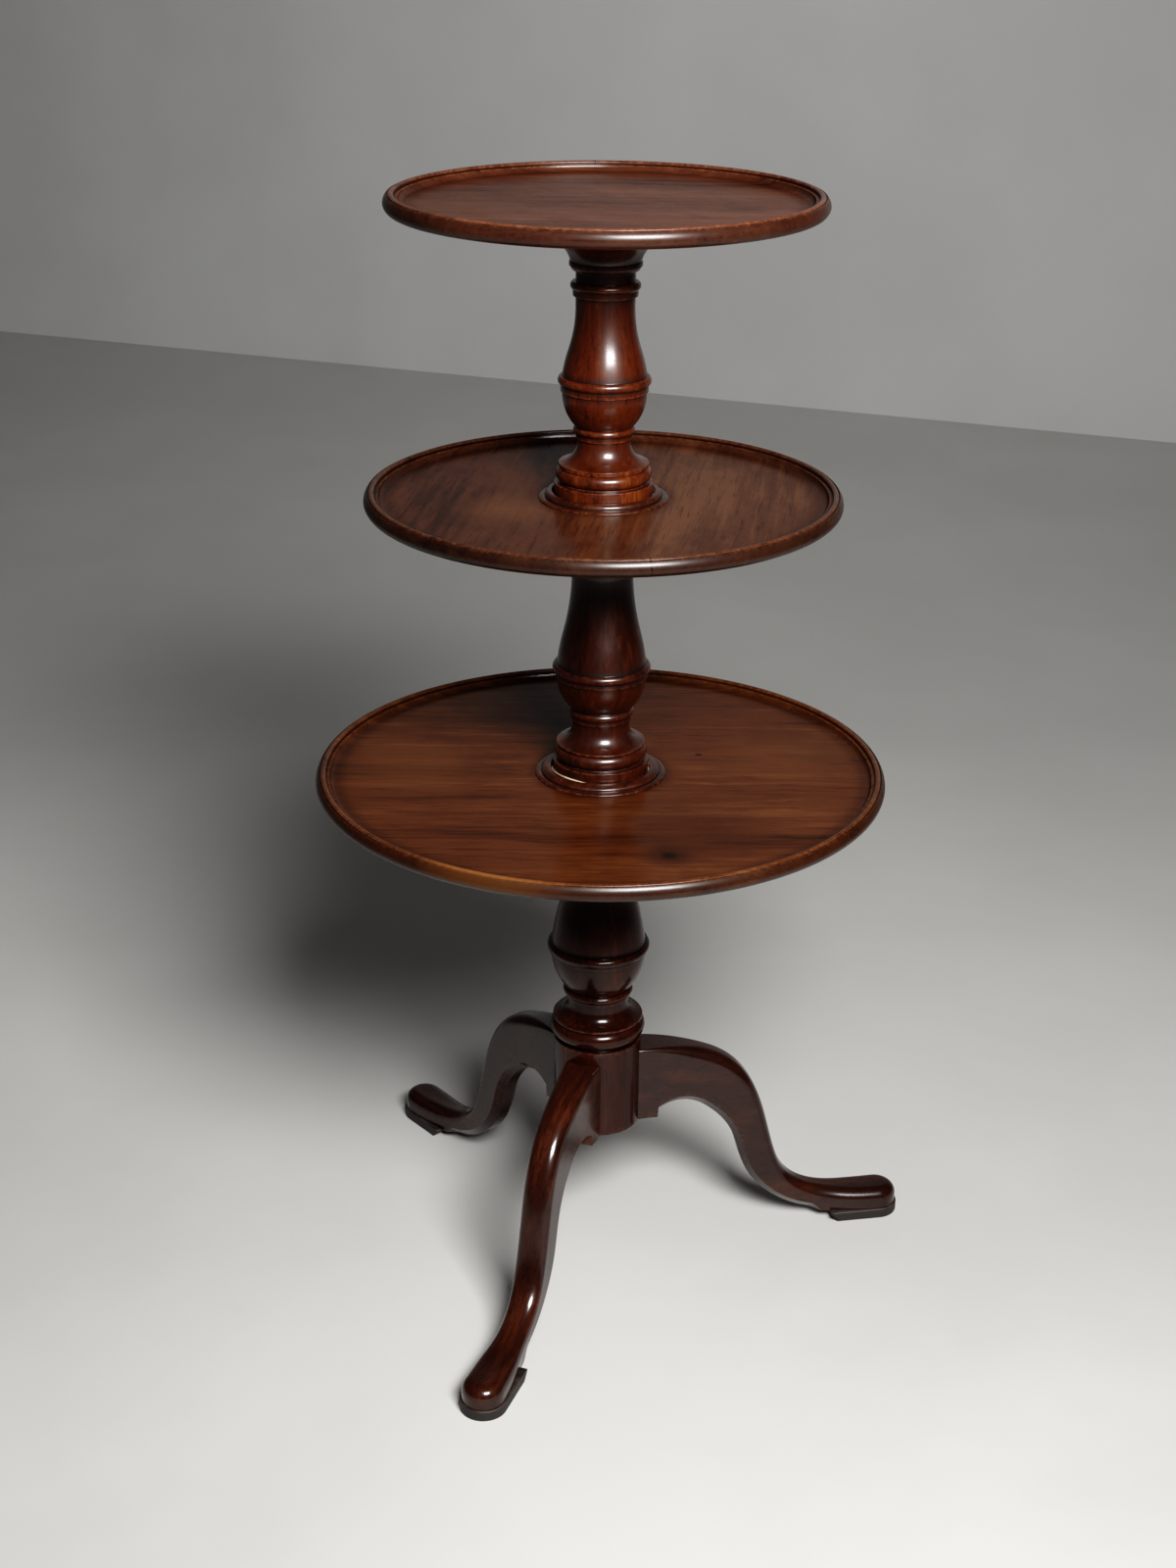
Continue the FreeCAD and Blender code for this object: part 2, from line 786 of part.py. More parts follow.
def leg_plan(body):
    """What is sawn away round the leg's plan, which narrows to a waist and ends in a round toe."""
    toe = size("leg_toe_width") / 2
    waist = size("leg_waist_width") / 2
    toe_from = toe_reach - toe
    waist_reach = size("leg_waist_reach")
    swell_reach = (waist_reach + toe_from) / 2
    swell_width = (waist + toe) / 2
    waste = toe_reach + size("leg_toe_width")
    wide = root + size("leg_toe_width")
    shape = Outline(body, "XY_Plane", "plan")
    shape.begin(-wide, -wide).line(waste, -wide).line(waste, wide).line(-wide, wide).close()
    shape.begin(ZERO, -half_root)
    shape.line(flat_reach, -half_root)
    shape.level(waist_reach, -waist, waist_reach)
    shape.level(swell_reach, -swell_width, waist_reach)
    shape.level(toe_from, -toe, toe_from)
    shape.swell(toe_from, toe, toe)
    shape.level(swell_reach, swell_width, toe_from)
    shape.level(waist_reach, waist, waist_reach)
    shape.level(flat_reach, half_root, waist_reach)
    shape.line(ZERO, half_root)
    shape.close()
    return shape


def is_side(face, least_slant=0.1):
    """Whether a face stands upright along the leg's plan, seen by its normals off the leg's plane."""
    u0, u1, v0, v1 = face.ParameterRange
    quarter = face.normalAt(u0 + (u1 - u0) / 4, v0 + (v1 - v0) / 4)
    return abs(quarter.y) > least_slant


def is_curve(face, towards):
    """Whether a face is one of the leg's curves that look up and out, or down and in."""
    u0, u1, v0, v1 = face.ParameterRange
    middle = face.normalAt((u0 + u1) / 2, (v0 + v1) / 2)
    curved = not isinstance(face.Surface, Part.Plane)
    return curved and not is_side(face) and (middle.x + middle.z) * towards > 0


def is_back(face):
    """Whether a face lies along the leg's upper outline, from the root to the toe's flat top."""
    flat_top = isinstance(face.Surface, Part.Plane) and face.normalAt(0, 0).z > 0
    return is_curve(face, 1) or flat_top


def is_under(face):
    """Whether a face is one of the curves under the leg, from the arch to the heel."""
    return is_curve(face, -1)


def edges_along_sides(shape, chosen):
    """The names of the edges where the leg's sides meet the chosen faces."""
    names = []
    for index, edge in enumerate(shape.Edges):
        faces = shape.ancestorsOfType(edge, Part.Face)
        if any(is_side(face) for face in faces) and any(chosen(face) for face in faces):
            names.append("Edge" + str(index + 1))
    return names


def leg(label, turn):
    """A cabriole leg: sawn in two directions, its back rounded and its under edges bevelled."""
    body = new_body(label, ZERO, turn)
    pad(body, leg_side(body), root + size("leg_toe_width"), True)
    sawn = pocket(body, leg_plan(body))
    doc.recompute()
    rounded = body.newObject("PartDesign::Fillet", label + "_back")
    rounded.Base = (sawn, edges_along_sides(sawn.Shape, is_back))
    bind(rounded, "Radius", size("leg_back_round"))
    doc.recompute()
    bevelled = body.newObject("PartDesign::Chamfer", label + "_under")
    bevelled.Base = (rounded, edges_along_sides(rounded.Shape, is_under))
    bind(bevelled, "Size", size("leg_under_bevel"))
    # the dovetail's tongue starts inside the root, so that the two are one piece of wood
    tongue_plan = Outline(body, "XY_Plane", "tongue", lift=hub_foot)
    pad(body, dovetail(tongue_plan, ZERO, flat_reach + size("dovetail_neck") / 2), dovetail_height)
    pilots = rounds(body, "pilots", [inner_screw, outer_screw], pilot)
    pocket(body, pilots, hub_foot + screw_length - brace)
    return body


def foot_pad(label, turn):
    """The sole under the toe: a dark block, round in front and bevelled under its heel."""
    body = new_body(label, ZERO, turn)
    toe_from = toe_reach - size("leg_toe_width") / 2
    half = size("leg_toe_width") / 2 + size("pad_overhang")
    heel = heel_reach + size("pad_setback")
    shape = Outline(body, "XY_Plane", "plan")
    shape.begin(heel, -half)
    shape.line(toe_from, -half)
    shape.swell(toe_from, half, half)
    shape.line(heel, half)
    shape.close()
    sole = pad(body, shape, size("pad_thickness"))
    doc.recompute()
    centres = [edge.CenterOfMass for edge in sole.Shape.Edges]
    lowest = min(range(len(centres)), key=lambda index: centres[index].x + centres[index].z)
    bevel = body.newObject("PartDesign::Chamfer", label + "_bevel")
    bevel.Base = (sole, ["Edge" + str(lowest + 1)])
    bind(bevel, "Size", size("pad_bevel"))
    return body


def wood_screw(label, z, reach, turn):
    """A countersunk wood screw, point up, its head flush with level z."""
    body = new_body(label, z, turn)
    head = size("screw_head_radius")
    shape = Outline(body, "XZ_Plane", "outline", reach)
    shape.begin(ZERO, ZERO)
    shape.line(head, ZERO)
    shape.line(shank, head - shank)
    shape.line(shank, screw_length - size("screw_point"))
    shape.line(ZERO, screw_length)
    shape.close()
    revolve(body, shape)
    return body


def screw_group(label, screws):
    group = doc.addObject("Part::Compound", label)
    group.Label = label
    group.Links = screws
    return group


# Legs and pads stand at even spacing, and the front leg comes last.
legs = []
pads = []
brace_base = hub_foot - brace
brace_screws = [wood_screw("brace_screw_centre", brace_base, ZERO, ZERO)]
for index, side in enumerate(LEG_SIDES):
    turn = first_leg + index * WHOLE_TURN / len(LEG_SIDES)
    legs.append(leg("leg_" + side, turn))
    pads.append(foot_pad("foot_pad_" + side, turn))
    for place, reach in (("inner", inner_screw), ("outer", outer_screw)):
        name = "brace_screw_" + side + "_" + place
        brace_screws.append(wood_screw(name, brace_base, reach, turn))

# The iron brace under the hub: a disc with an arm under each leg's root.
brace_plate = new_body("brace_plate", brace_base, first_leg)
pad(brace_plate, rounds(brace_plate, "disc", [ZERO], size("brace_centre_radius")), brace)
half_arm = size("brace_arm_width") / 2
arm_from = outer_screw + size("brace_end_margin") - half_arm
arm_plan = Outline(brace_plate, "XY_Plane", "arm")
arm_plan.begin(ZERO, -half_arm).line(arm_from, -half_arm).swell(arm_from, half_arm, half_arm)
arm_plan.line(ZERO, half_arm).close()
arm = pad(brace_plate, arm_plan, brace)
arm_plan_holes = rounds(brace_plate, "arm_holes", [inner_screw, outer_screw], pilot)
arm_holes = countersunk(brace_plate, arm_plan_holes)
around(brace_plate, [arm, arm_holes], len(LEG_SIDES))
countersunk(brace_plate, rounds(brace_plate, "centre_hole", [ZERO], pilot))

# The bearer block under the top tray turns on the last spigot and is screwed to the tray.
bearer = new_body("top_bearer", bearer_base)
bearer_edge = size("bearer_radius")
bearer_top = size("bearer_thickness")
block = Outline(bearer, "XZ_Plane", "outline")
block.begin(bore, ZERO)
block.line(bearer_edge - size("bearer_edge_width"), ZERO)
block.swell(bearer_edge, size("bearer_edge_height"), size("bearer_edge_swell"))
block.line(bearer_edge, bearer_top)
block.line(ZERO, bearer_top)
block.line(ZERO, bearer_socket)
block.line(bore, bearer_socket)
block.close()
revolve(bearer, block)
screw_circle = bearer_edge - size("bearer_screw_inset")
bearer_hole = countersunk(bearer, rounds(bearer, "hole", [screw_circle], pilot))
around(bearer, [bearer_hole], BEARER_SCREWS)
tray_holes = rounds(top_tray, "pilot", [screw_circle], pilot)
tray_pilot = pocket(top_tray, tray_holes, screw_length - bearer_top)
around(top_tray, [tray_pilot], BEARER_SCREWS)
bearer_screws = []
for index in range(BEARER_SCREWS):
    turn = ZERO + index * WHOLE_TURN / BEARER_SCREWS
    name = "bearer_screw_" + str(index + 1)
    bearer_screws.append(wood_screw(name, bearer_base, screw_circle, turn))

groups = [screw_group("brace_screws", brace_screws), screw_group("bearer_screws", bearer_screws)]
parts = [lower_pillar, middle_pillar, upper_pillar, lower_tray, middle_tray, top_tray,
         lower_collar, middle_collar, brace_plate, bearer] + washers + legs + pads + groups
doc.recompute()
for thing in doc.Objects:
    if "Invalid" in thing.State or "Error" in thing.State:
        raise RuntimeError(thing.Label + " failed: " + str(thing.State))
for part in parts:
    if part.Shape.isNull() or not part.Shape.isValid():
        raise RuntimeError(part.Label + " has no valid shape")
os.makedirs("parts", exist_ok=True)
for part in parts:
    part.Shape.exportStep("parts/" + part.Label + ".step")
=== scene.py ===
import math
import bpy
import numpy as np
from mathutils import Matrix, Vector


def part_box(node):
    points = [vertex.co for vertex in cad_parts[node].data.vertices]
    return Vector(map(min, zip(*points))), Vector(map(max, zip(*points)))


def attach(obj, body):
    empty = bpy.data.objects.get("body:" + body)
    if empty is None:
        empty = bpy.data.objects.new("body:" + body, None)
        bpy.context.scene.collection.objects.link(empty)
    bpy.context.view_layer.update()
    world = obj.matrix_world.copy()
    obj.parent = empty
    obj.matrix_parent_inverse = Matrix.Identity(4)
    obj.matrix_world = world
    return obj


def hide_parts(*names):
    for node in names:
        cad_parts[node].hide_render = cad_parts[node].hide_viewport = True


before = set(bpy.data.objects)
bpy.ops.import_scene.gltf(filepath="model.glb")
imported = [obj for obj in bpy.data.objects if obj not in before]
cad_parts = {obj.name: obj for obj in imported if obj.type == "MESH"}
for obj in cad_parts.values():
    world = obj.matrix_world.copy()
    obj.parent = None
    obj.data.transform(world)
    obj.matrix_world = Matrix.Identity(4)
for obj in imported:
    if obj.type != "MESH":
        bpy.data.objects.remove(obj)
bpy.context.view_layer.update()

# Lower pillar: the foot of the column, turned in one piece from a mahogany post.
# Its plinth is the hub: three flats are planed on it, and a leg is dovetailed into each.
WHOLE_TURN = 2 * math.pi
ARC_STEPS = 24


def bow(start, end, half_turn):
    """Points of an arc between two points of the complex plane: at each share of the arc the chord
    from the start is the whole chord, shortened as the sine of the turn so far and turned with it."""
    share = np.linspace(0, 1, ARC_STEPS)[1:]
    chord = (end - start) * np.sin(half_turn * share) / np.sin(half_turn)
    return start + chord * np.exp(1j * half_turn * (share - 1))


def outline(start, *moves):
    """A turner's outline as complex numbers, radius + height * i, in millimetres. A move of two numbers
    is a straight line, a third is an arc's rise (outward where positive), and None runs on smoothly."""
    points = [np.array([complex(*start)])]
    heading = 0.0
    for radius, height, *rise in moves:
        here, there = points[-1][-1], complex(radius, height)
        bearing = np.angle(there - here)
        half_turn = 0.0
        if rise and rise[0] is None:
            half_turn = math.remainder(bearing - heading, WHOLE_TURN)
        elif rise:
            half_turn = 2 * math.atan(2 * rise[0] / abs(there - here))
        points.append(bow(here, there, half_turn) if half_turn else np.array([there]))
        heading = bearing + half_turn
    return np.concatenate(points)


WALK_STEP = 0.12
ARRIS = 0.35
BELL_REACH = 3.0
ROW_PITCH = 9.0
ROWS_PER_RADIAN = 5.0
EDGE_WIDTH = 0.8
EDGE_GAIN = 1.3
HOLLOW_WIDTH = 1.6
HOLLOW_DEPTH = 0.45
# wide hollows are darkened as painted shade, by this width, depth and share
SHADE_HOLLOW_WIDTH = 7.0
SHADE_HOLLOW_DEPTH = 3.0
HOLLOW_SHADE = 0.6


def soft_rows(line, closed=False):
    """Rows for a turned surface. The outline is walked in fine even steps and averaged over the arris'
    width with a bell curve, so no edge stays sharp, then thinned to rows that crowd where it turns.
    Also gives how much each row is a proud edge, from the outline's turning, and how much a hollow, from
    how far it lies under the same outline averaged more broadly, by a little for narrow grooves and by
    more for wide hollows, which are darkened further as painted shade."""
    if closed:
        line = np.append(line, line[0])
    length = np.append(0, np.cumsum(np.abs(np.diff(line))))
    fine = np.linspace(0, length[-1], int(length[-1] / WALK_STEP))
    walk = np.interp(fine, length, line.real) + 1j * np.interp(fine, length, line.imag)
    step = fine[1]

    def averaged(values, width):
        margin = int(BELL_REACH * width / step)
        if closed:
            wide = np.pad(values[:-1], margin, mode="wrap")
        else:
            wide = np.pad(values, margin, mode="edge")
        reach = np.arange(-margin, margin + 1) * step
        bell = np.exp(-0.5 * (reach / width) ** 2)
        smooth = np.convolve(wide, bell / bell.sum(), mode="valid")
        return np.append(smooth, smooth[0]) if closed else smooth

    walk = averaged(walk, ARRIS)
    bearing = np.unwrap(np.angle(np.gradient(walk)))
    turning = np.gradient(bearing) / step
    crowd = np.append(0, np.cumsum(1 / ROW_PITCH + np.abs(turning[1:]) * ROWS_PER_RADIAN) * step)
    rows = np.interp(np.arange(0, crowd[-1], 1.0), crowd, fine)
    radius = np.interp(rows, fine, walk.real)
    height = np.interp(rows, fine, walk.imag)
    edge = np.clip(np.interp(rows, fine, averaged(turning, EDGE_WIDTH)) * EDGE_GAIN, 0, 1)

    def sunk(width, depth):
        under = (averaged(walk, width) - walk) * np.exp(-1j * bearing) * 1j
        return np.clip(np.interp(rows, fine, under.real) / depth, 0, 1)

    # narrow grooves hold dark wax; wide hollows get painted shade as well
    hollow = np.maximum(sunk(HOLLOW_WIDTH, HOLLOW_DEPTH), HOLLOW_SHADE * sunk(SHADE_HOLLOW_WIDTH, SHADE_HOLLOW_DEPTH))
    return radius, height, edge, hollow


def turned(rows, angles):
    """A grid of points: each row's radius carried round the column's axis at its height."""
    radius, height = rows[0][:, None], rows[1][:, None]
    level = np.broadcast_to(height, (len(height), len(angles)))
    return np.stack([radius * np.cos(angles), radius * np.sin(angles), level], axis=-1)


def lathe_marks(rows):
    """What the finish has to know of each row: how much it is a proud edge, and how much a hollow."""
    return {"edge": rows[2][:, None], "hollow": rows[3][:, None]}


MM = 0.001


def skin(name, grid, marks, material, body, node, closed=False):
    """A piece from a grid of points in millimetres whose columns run all the way round. Its rows close
    on themselves, or each end is closed by a fan on its middle. The marks are kept for the finish."""
    rows, columns = grid.shape[:2]
    index = np.arange(rows * columns).reshape(rows, columns)
    index = np.vstack([index, index[:1]]) if closed else index
    beside = np.roll(index, -1, axis=1)
    faces = np.stack([index[:-1], beside[:-1], beside[1:], index[1:]], axis=-1).reshape(-1, 4).tolist()
    points = grid.reshape(-1, 3)
    values = {mark: np.broadcast_to(value, (rows, columns)).ravel() for mark, value in marks.items()}
    if not closed:
        foot, head = rows * columns, rows * columns + 1
        faces += np.stack([beside[0], index[0], np.full(columns, foot)], axis=-1).tolist()
        faces += np.stack([index[-1], beside[-1], np.full(columns, head)], axis=-1).tolist()
        points = np.vstack([points, grid[0].mean(0), grid[-1].mean(0)])
        values = {mark: np.append(value, [0, 0]) for mark, value in values.items()}
    mesh = bpy.data.meshes.new(name)
    mesh.from_pydata((points * MM).tolist(), [], faces)
    mesh.shade_smooth()
    for mark, value in values.items():
        mesh.attributes.new(mark, "FLOAT", "POINT").data.foreach_set("value", value.astype(np.float32))
    mesh.materials.append(material)
    piece = bpy.data.objects.new(name, mesh)
    bpy.context.scene.collection.objects.link(piece)
    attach(piece, body)
    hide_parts(node)
    return piece


NOISE_LOW = 0.3
NOISE_HIGH = 0.7
CRACK_WANDER = 90.0
# a mix node's sockets go by number, and these are the ones for colours
UNDER_SOCKET = 6
OVER_SOCKET = 7
BLEND_SOCKET = 2


class Finish:
    """A material's nodes, wired by short calls: each returns the socket that carries its result."""

    def __init__(self, name):
        self.material = bpy.data.materials.new(name)
        self.material.use_nodes = True
        self.tree = self.material.node_tree
        self.shader = self.tree.nodes["Principled BSDF"]
        self.place = self.tree.nodes.new("ShaderNodeTexCoord").outputs["Object"]

    def plug(self, socket, value):
        """Feeds a socket: by a link from another socket, or with a plain number or colour."""
        if isinstance(value, bpy.types.NodeSocket):
            self.tree.links.new(value, socket)
        else:
            socket.default_value = value

    def mapped(self, stretch=(1, 1, 1), turn=0.0):
        """Object coordinates turned about the upright axis, then stretched along the grain."""
        turned_first = self.tree.nodes.new("ShaderNodeMapping")
        self.plug(turned_first.inputs["Vector"], self.place)
        turned_first.inputs["Rotation"].default_value = (0, 0, turn)
        stretched = self.tree.nodes.new("ShaderNodeMapping")
        self.plug(stretched.inputs["Vector"], turned_first.outputs["Vector"])
        stretched.inputs["Scale"].default_value = stretch
        return stretched.outputs["Vector"]

    def noise(self, vector, scale, detail=3.0, rough=0.55, warp=0.0):
        """Cloudy noise between nothing and one, with about as many patches to the metre as its scale."""
        node = self.tree.nodes.new("ShaderNodeTexNoise")
        self.plug(node.inputs["Vector"], vector)
        node.inputs["Scale"].default_value = scale
        node.inputs["Detail"].default_value = detail
        node.inputs["Roughness"].default_value = rough
        node.inputs["Distortion"].default_value = warp
        return node.outputs["Fac"]

    def span(self, value, low, high, to_low=0.0, to_high=1.0):
        """A value's range from low to high, spread smoothly over another range."""
        node = self.tree.nodes.new("ShaderNodeMapRange")
        node.interpolation_type = "SMOOTHSTEP"
        self.plug(node.inputs["Value"], value)
        node.inputs["From Min"].default_value = low
        node.inputs["From Max"].default_value = high
        node.inputs["To Min"].default_value = to_low
        node.inputs["To Max"].default_value = to_high
        return node.outputs["Result"]

    def reckon(self, operation, first, second=0.0):
        """One step of arithmetic on one or two values."""
        node = self.tree.nodes.new("ShaderNodeMath")
        node.operation = operation
        self.plug(node.inputs[0], first)
        self.plug(node.inputs[1], second)
        return node.outputs["Value"]

    def mix(self, *shares):
        """Several values added up, each by its share."""
        total = self.reckon("MULTIPLY", *shares[0])
        for value, share in shares[1:]:
            total = self.reckon("ADD", total, self.reckon("MULTIPLY", value, share))
        return total

    def mark(self, name):
        """A mark that the piece's mesh carries, such as its proud edges."""
        node = self.tree.nodes.new("ShaderNodeAttribute")
        node.attribute_name = name
        return node.outputs["Fac"]

    def blend(self, share, under, over):
        """One colour laid over another by a share."""
        node = self.tree.nodes.new("ShaderNodeMix")
        node.data_type = "RGBA"
        self.plug(node.inputs["Factor"], share)
        for socket, colour in ((node.inputs[UNDER_SOCKET], under), (node.inputs[OVER_SOCKET], over)):
            self.plug(socket, colour if isinstance(colour, bpy.types.NodeSocket) else (*colour, 1))
        return node.outputs[BLEND_SOCKET]

    def near(self, spot, inner, outer):
        """One at a spot in metres, fading to nothing between two distances from it."""
        node = self.tree.nodes.new("ShaderNodeVectorMath")
        node.operation = "DISTANCE"
        self.plug(node.inputs[0], self.place)
        node.inputs[1].default_value = spot
        return self.span(node.outputs["Value"], inner, outer, 1.0, 0.0)

    def crack(self, bearing, inner, width):
        """One along a wandering line that runs out from a radius at a bearing, nothing beside it."""
        place = self.tree.nodes.new("ShaderNodeSeparateXYZ")
        self.plug(place.inputs["Vector"], self.mapped(turn=-bearing))
        wander = self.noise(self.place, CRACK_WANDER)
        drift = self.span(wander, NOISE_LOW, NOISE_HIGH, -width, width)
        aside = self.reckon("ABSOLUTE", self.reckon("ADD", place.outputs["Y"], drift))
        line = self.span(aside, width / 2, width, 1.0, 0.0)
        return self.reckon("MULTIPLY", line, self.span(place.outputs["X"], inner, inner + width))

    def dress(self, colour, relief, smoothest, dullest):
        """Gives the shader its colour, and a roughness from smoothest to dullest that follows a relief."""
        self.plug(self.shader.inputs["Base Color"], colour)
        dull = self.span(relief, NOISE_LOW, NOISE_HIGH, smoothest, dullest)
        self.plug(self.shader.inputs["Roughness"], dull)

    def bump(self, height, depth, strength):
        """Fine relief from a height between nothing and one, its depth in metres."""
        node = self.tree.nodes.new("ShaderNodeBump")
        node.inputs["Distance"].default_value = depth
        node.inputs["Strength"].default_value = strength
        self.plug(node.inputs["Height"], height)
        self.plug(self.shader.inputs["Normal"], node.outputs["Normal"])


# the figure: how much finer each layer is than the broad one, its share, and where the tones change
STRIPES_FINER = 3.2
LINES_FINER = 22
PORES_FINER = 100
SHORT_GRAIN = 0.55
BROAD_SHARE = 0.31
STRIPE_SHARE = 0.33
LINE_SHARE = 0.36
DARK_TONE = 0.37
WARM_TONE = 0.49
LIGHT_TONE = 0.62
PORE_SHARE = 0.4
PORE_SHADE = 0.35
# the polish: clouds, scuffs and smears in patches to the metre, and how worn wood, partly a painted
# highlight, and wax with painted shade are tinted
CLOUD_SCALE = 11.0
CLOUD_SHARE = 0.5
SCUFF_SCALE = 190.0
SMEAR_SCALE = 16.0
SMEAR_STRETCH = (1.0, 2.4, 1.0)
SMEAR_TURN = 0.6
WEAR_GLINT_GAIN = 1.9
WEAR_GLINT_LIFT = 0.01
WORN_DULL = 0.15
WAX_AND_SHADE_SHARE = 0.9
WAX_AND_SHADE_TONE = 0.15
WAX_DULL = 0.3


def mahogany(name, dark, warm, light, grain, turn=0.0, figure=5.0, wear=0.5, gloss=0.8, film=0.17,
             sheen=0.02, spots=(), cracks=()):
    """French-polished mahogany: broad figure, broken stripes and fine lines stretched along the grain,
    dark pores, cloudy old polish, pale wear on proud edges that is partly a painted highlight, dark wax
    and painted shade in hollows, and a clear coat. A spot is its place in metres, the distances where its
    fade starts and ends, its colour and its share. A crack is its bearing, the radius where it starts and
    its width, in metres."""
    finish = Finish(name)
    along = finish.mapped(grain, turn)
    short = finish.mapped(tuple(stretch ** SHORT_GRAIN for stretch in grain), turn)
    broad = finish.noise(along, figure, detail=4.0, rough=0.6, warp=0.9)
    stripes = finish.noise(short, figure * STRIPES_FINER, detail=4.0, rough=0.6, warp=0.7)
    lines = finish.noise(along, figure * LINES_FINER, detail=6.0, rough=0.7, warp=0.3)
    specks = finish.noise(along, figure * PORES_FINER, detail=2.0, rough=0.5)
    pores = finish.span(specks, low=0.56, high=0.68)
    cloud = finish.noise(finish.place, CLOUD_SCALE, detail=4.0, rough=0.6)
    tone = finish.mix((broad, BROAD_SHARE), (stripes, STRIPE_SHARE), (lines, LINE_SHARE))
    colour = finish.blend(finish.span(tone, DARK_TONE, WARM_TONE), dark, warm)
    colour = finish.blend(finish.span(tone, WARM_TONE, LIGHT_TONE), colour, light)
    in_pores = finish.reckon("MULTIPLY", pores, PORE_SHARE)
    colour = finish.blend(in_pores, colour, [PORE_SHADE * c for c in dark])
    colour = finish.blend(finish.span(cloud, low=0.50, high=0.75, to_high=CLOUD_SHARE), colour, dark)
    for place, inner, outer, tint, share in spots:
        spot = finish.reckon("MULTIPLY", finish.near(place, inner, outer), share)
        colour = finish.blend(spot, colour, tint)
    grit = finish.noise(finish.place, SCUFF_SCALE, detail=6.0, rough=0.75)
    scuffs = finish.reckon("MULTIPLY", finish.span(grit, low=0.46, high=0.60), wear)
    # pale wear on proud edges, partly a painted highlight along them
    wear_and_glint = finish.reckon("MULTIPLY", finish.mark("edge"), scuffs)
    colour = finish.blend(wear_and_glint, colour, [min(1.0, WEAR_GLINT_GAIN * c + WEAR_GLINT_LIFT) for c in light])
    # dark wax in hollows, with painted shade in wide hollows and round the trays' collars
    wax_and_shade = finish.reckon("MULTIPLY", finish.mark("hollow"), WAX_AND_SHADE_SHARE)
    for crack in cracks:
        wax_and_shade = finish.reckon("MAXIMUM", wax_and_shade, finish.crack(*crack))
    colour = finish.blend(wax_and_shade, colour, [WAX_AND_SHADE_TONE * c for c in dark])
    finish.plug(finish.shader.inputs["Base Color"], colour)
    smears = finish.noise(finish.mapped(SMEAR_STRETCH, SMEAR_TURN), SMEAR_SCALE, detail=5.0, rough=0.65)
    dull = finish.span(smears, low=0.3, high=0.75, to_low=0.30, to_high=0.50)
    dull = finish.mix((dull, 1.0), (wax_and_shade, WAX_DULL), (wear_and_glint, WORN_DULL))
    finish.plug(finish.shader.inputs["Roughness"], dull)
    relief = finish.mix((lines, 0.5), (pores, -0.5), (cloud, 0.6), (wax_and_shade, -0.8))
    finish.bump(relief, depth=0.0006, strength=0.16)
    finish.shader.inputs["Specular IOR Level"].default_value = sheen
    finish.shader.inputs["Coat Weight"].default_value = gloss
    finish.shader.inputs["Coat Roughness"].default_value = film
    return finish.material


UPRIGHT_GRAIN = (1.0, 1.0, 0.07)
POST_FIGURE = 9.0
POST_SHEEN = 0.2
POST_FILM = 0.21
STAND_GLOSS = 0.6
stand_dark = (0.0066, 0.0013, 0.0006)
stand_warm = (0.0205, 0.0043, 0.0015)
stand_light = (0.0480, 0.0120, 0.0040)
stand_wood = mahogany("lower pillar mahogany", stand_dark, stand_warm, stand_light, UPRIGHT_GRAIN,
                      figure=POST_FIGURE, gloss=STAND_GLOSS)
# a turned surface stops just short of the column's axis, where a fan closes it
AXIS = 0.5
SPIGOT = 17.0
SOCKET = 17.15
QUIRK_DEPTH = 5.0
FILLET_STEP = 1.2
SCOTIA_HOLLOW = -4.6
RING_STEP = 1.6
CUP_FULLNESS = 3.8
BELT_STEP = 1.5
SHOULDER_FULLNESS = 0.6
ASTRAGAL_STEP = 2.8
ECHINUS_SPREAD = 5.4
ECHINUS_FULLNESS = 1.3
ANNULET_STEP = 1.2
CAVETTO_HOLLOW = -2.6


def pillar_rows(foot, top, socket, plinth, quirk, torus, fillet, scotia, neck, ring, cup, belly, belt,
                shoulder, throat, collarino, astragal, band, echinus, annulet, capital, abacus):
    """The outline of a pillar from its foot to the end of its spigot, member by member. A pair is a
    member's radius and height, a single number its height, and a triple is a bead on a fillet: the
    fillet's height, then the bead's swell and height."""
    moves = [(SOCKET, foot + socket), (SOCKET, foot)] if socket else []
    level = foot

    def step(radius):
        moves.append((radius, level))

    def rise(radius, height, *arc):
        nonlocal level
        level += height
        moves.append((radius, level, *arc))

    def bead(radius, fillet_height, swell, height):
        step(radius)
        rise(radius, fillet_height)
        rise(radius, height, swell)

    torus_rise = torus[1] / 2
    torus_base = torus[0] - torus_rise
    brim = scotia[0] + FILLET_STEP
    spread = throat[0] + ECHINUS_SPREAD
    step(plinth[0])
    rise(*plinth)
    step(plinth[0] - QUIRK_DEPTH)
    rise(plinth[0] - QUIRK_DEPTH, quirk)
    step(torus_base)
    rise(torus_base, torus[1], torus_rise)
    step(brim)
    rise(brim, fillet)
    step(scotia[0])
    rise(neck[0], scotia[1], SCOTIA_HOLLOW)
    rise(*neck)
    bead(neck[0] + RING_STEP, *ring)
    step(cup[0])
    rise(belly, cup[1], CUP_FULLNESS)
    bead(belly + BELT_STEP, *belt)
    step(belly)
    rise(*shoulder, SHOULDER_FULLNESS)
    rise(*throat, None)
    rise(throat[0], collarino)
    bead(throat[0] + ASTRAGAL_STEP, *astragal)
    step(throat[0])
    rise(throat[0], band)
    rise(spread, echinus, ECHINUS_FULLNESS)
    step(spread + ANNULET_STEP)
    rise(spread + ANNULET_STEP, annulet)
    step(spread)
    rise(*capital, CAVETTO_HOLLOW)
    rise(capital[0], abacus)
    step(SPIGOT)
    moves += [(SPIGOT, top), (AXIS, top)]
    return soft_rows(outline((AXIS, foot + socket), *moves))


def ends(node):
    """The heights of a CAD node's foot and top, in millimetres."""
    low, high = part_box(node)
    return low.z / MM, high.z / MM


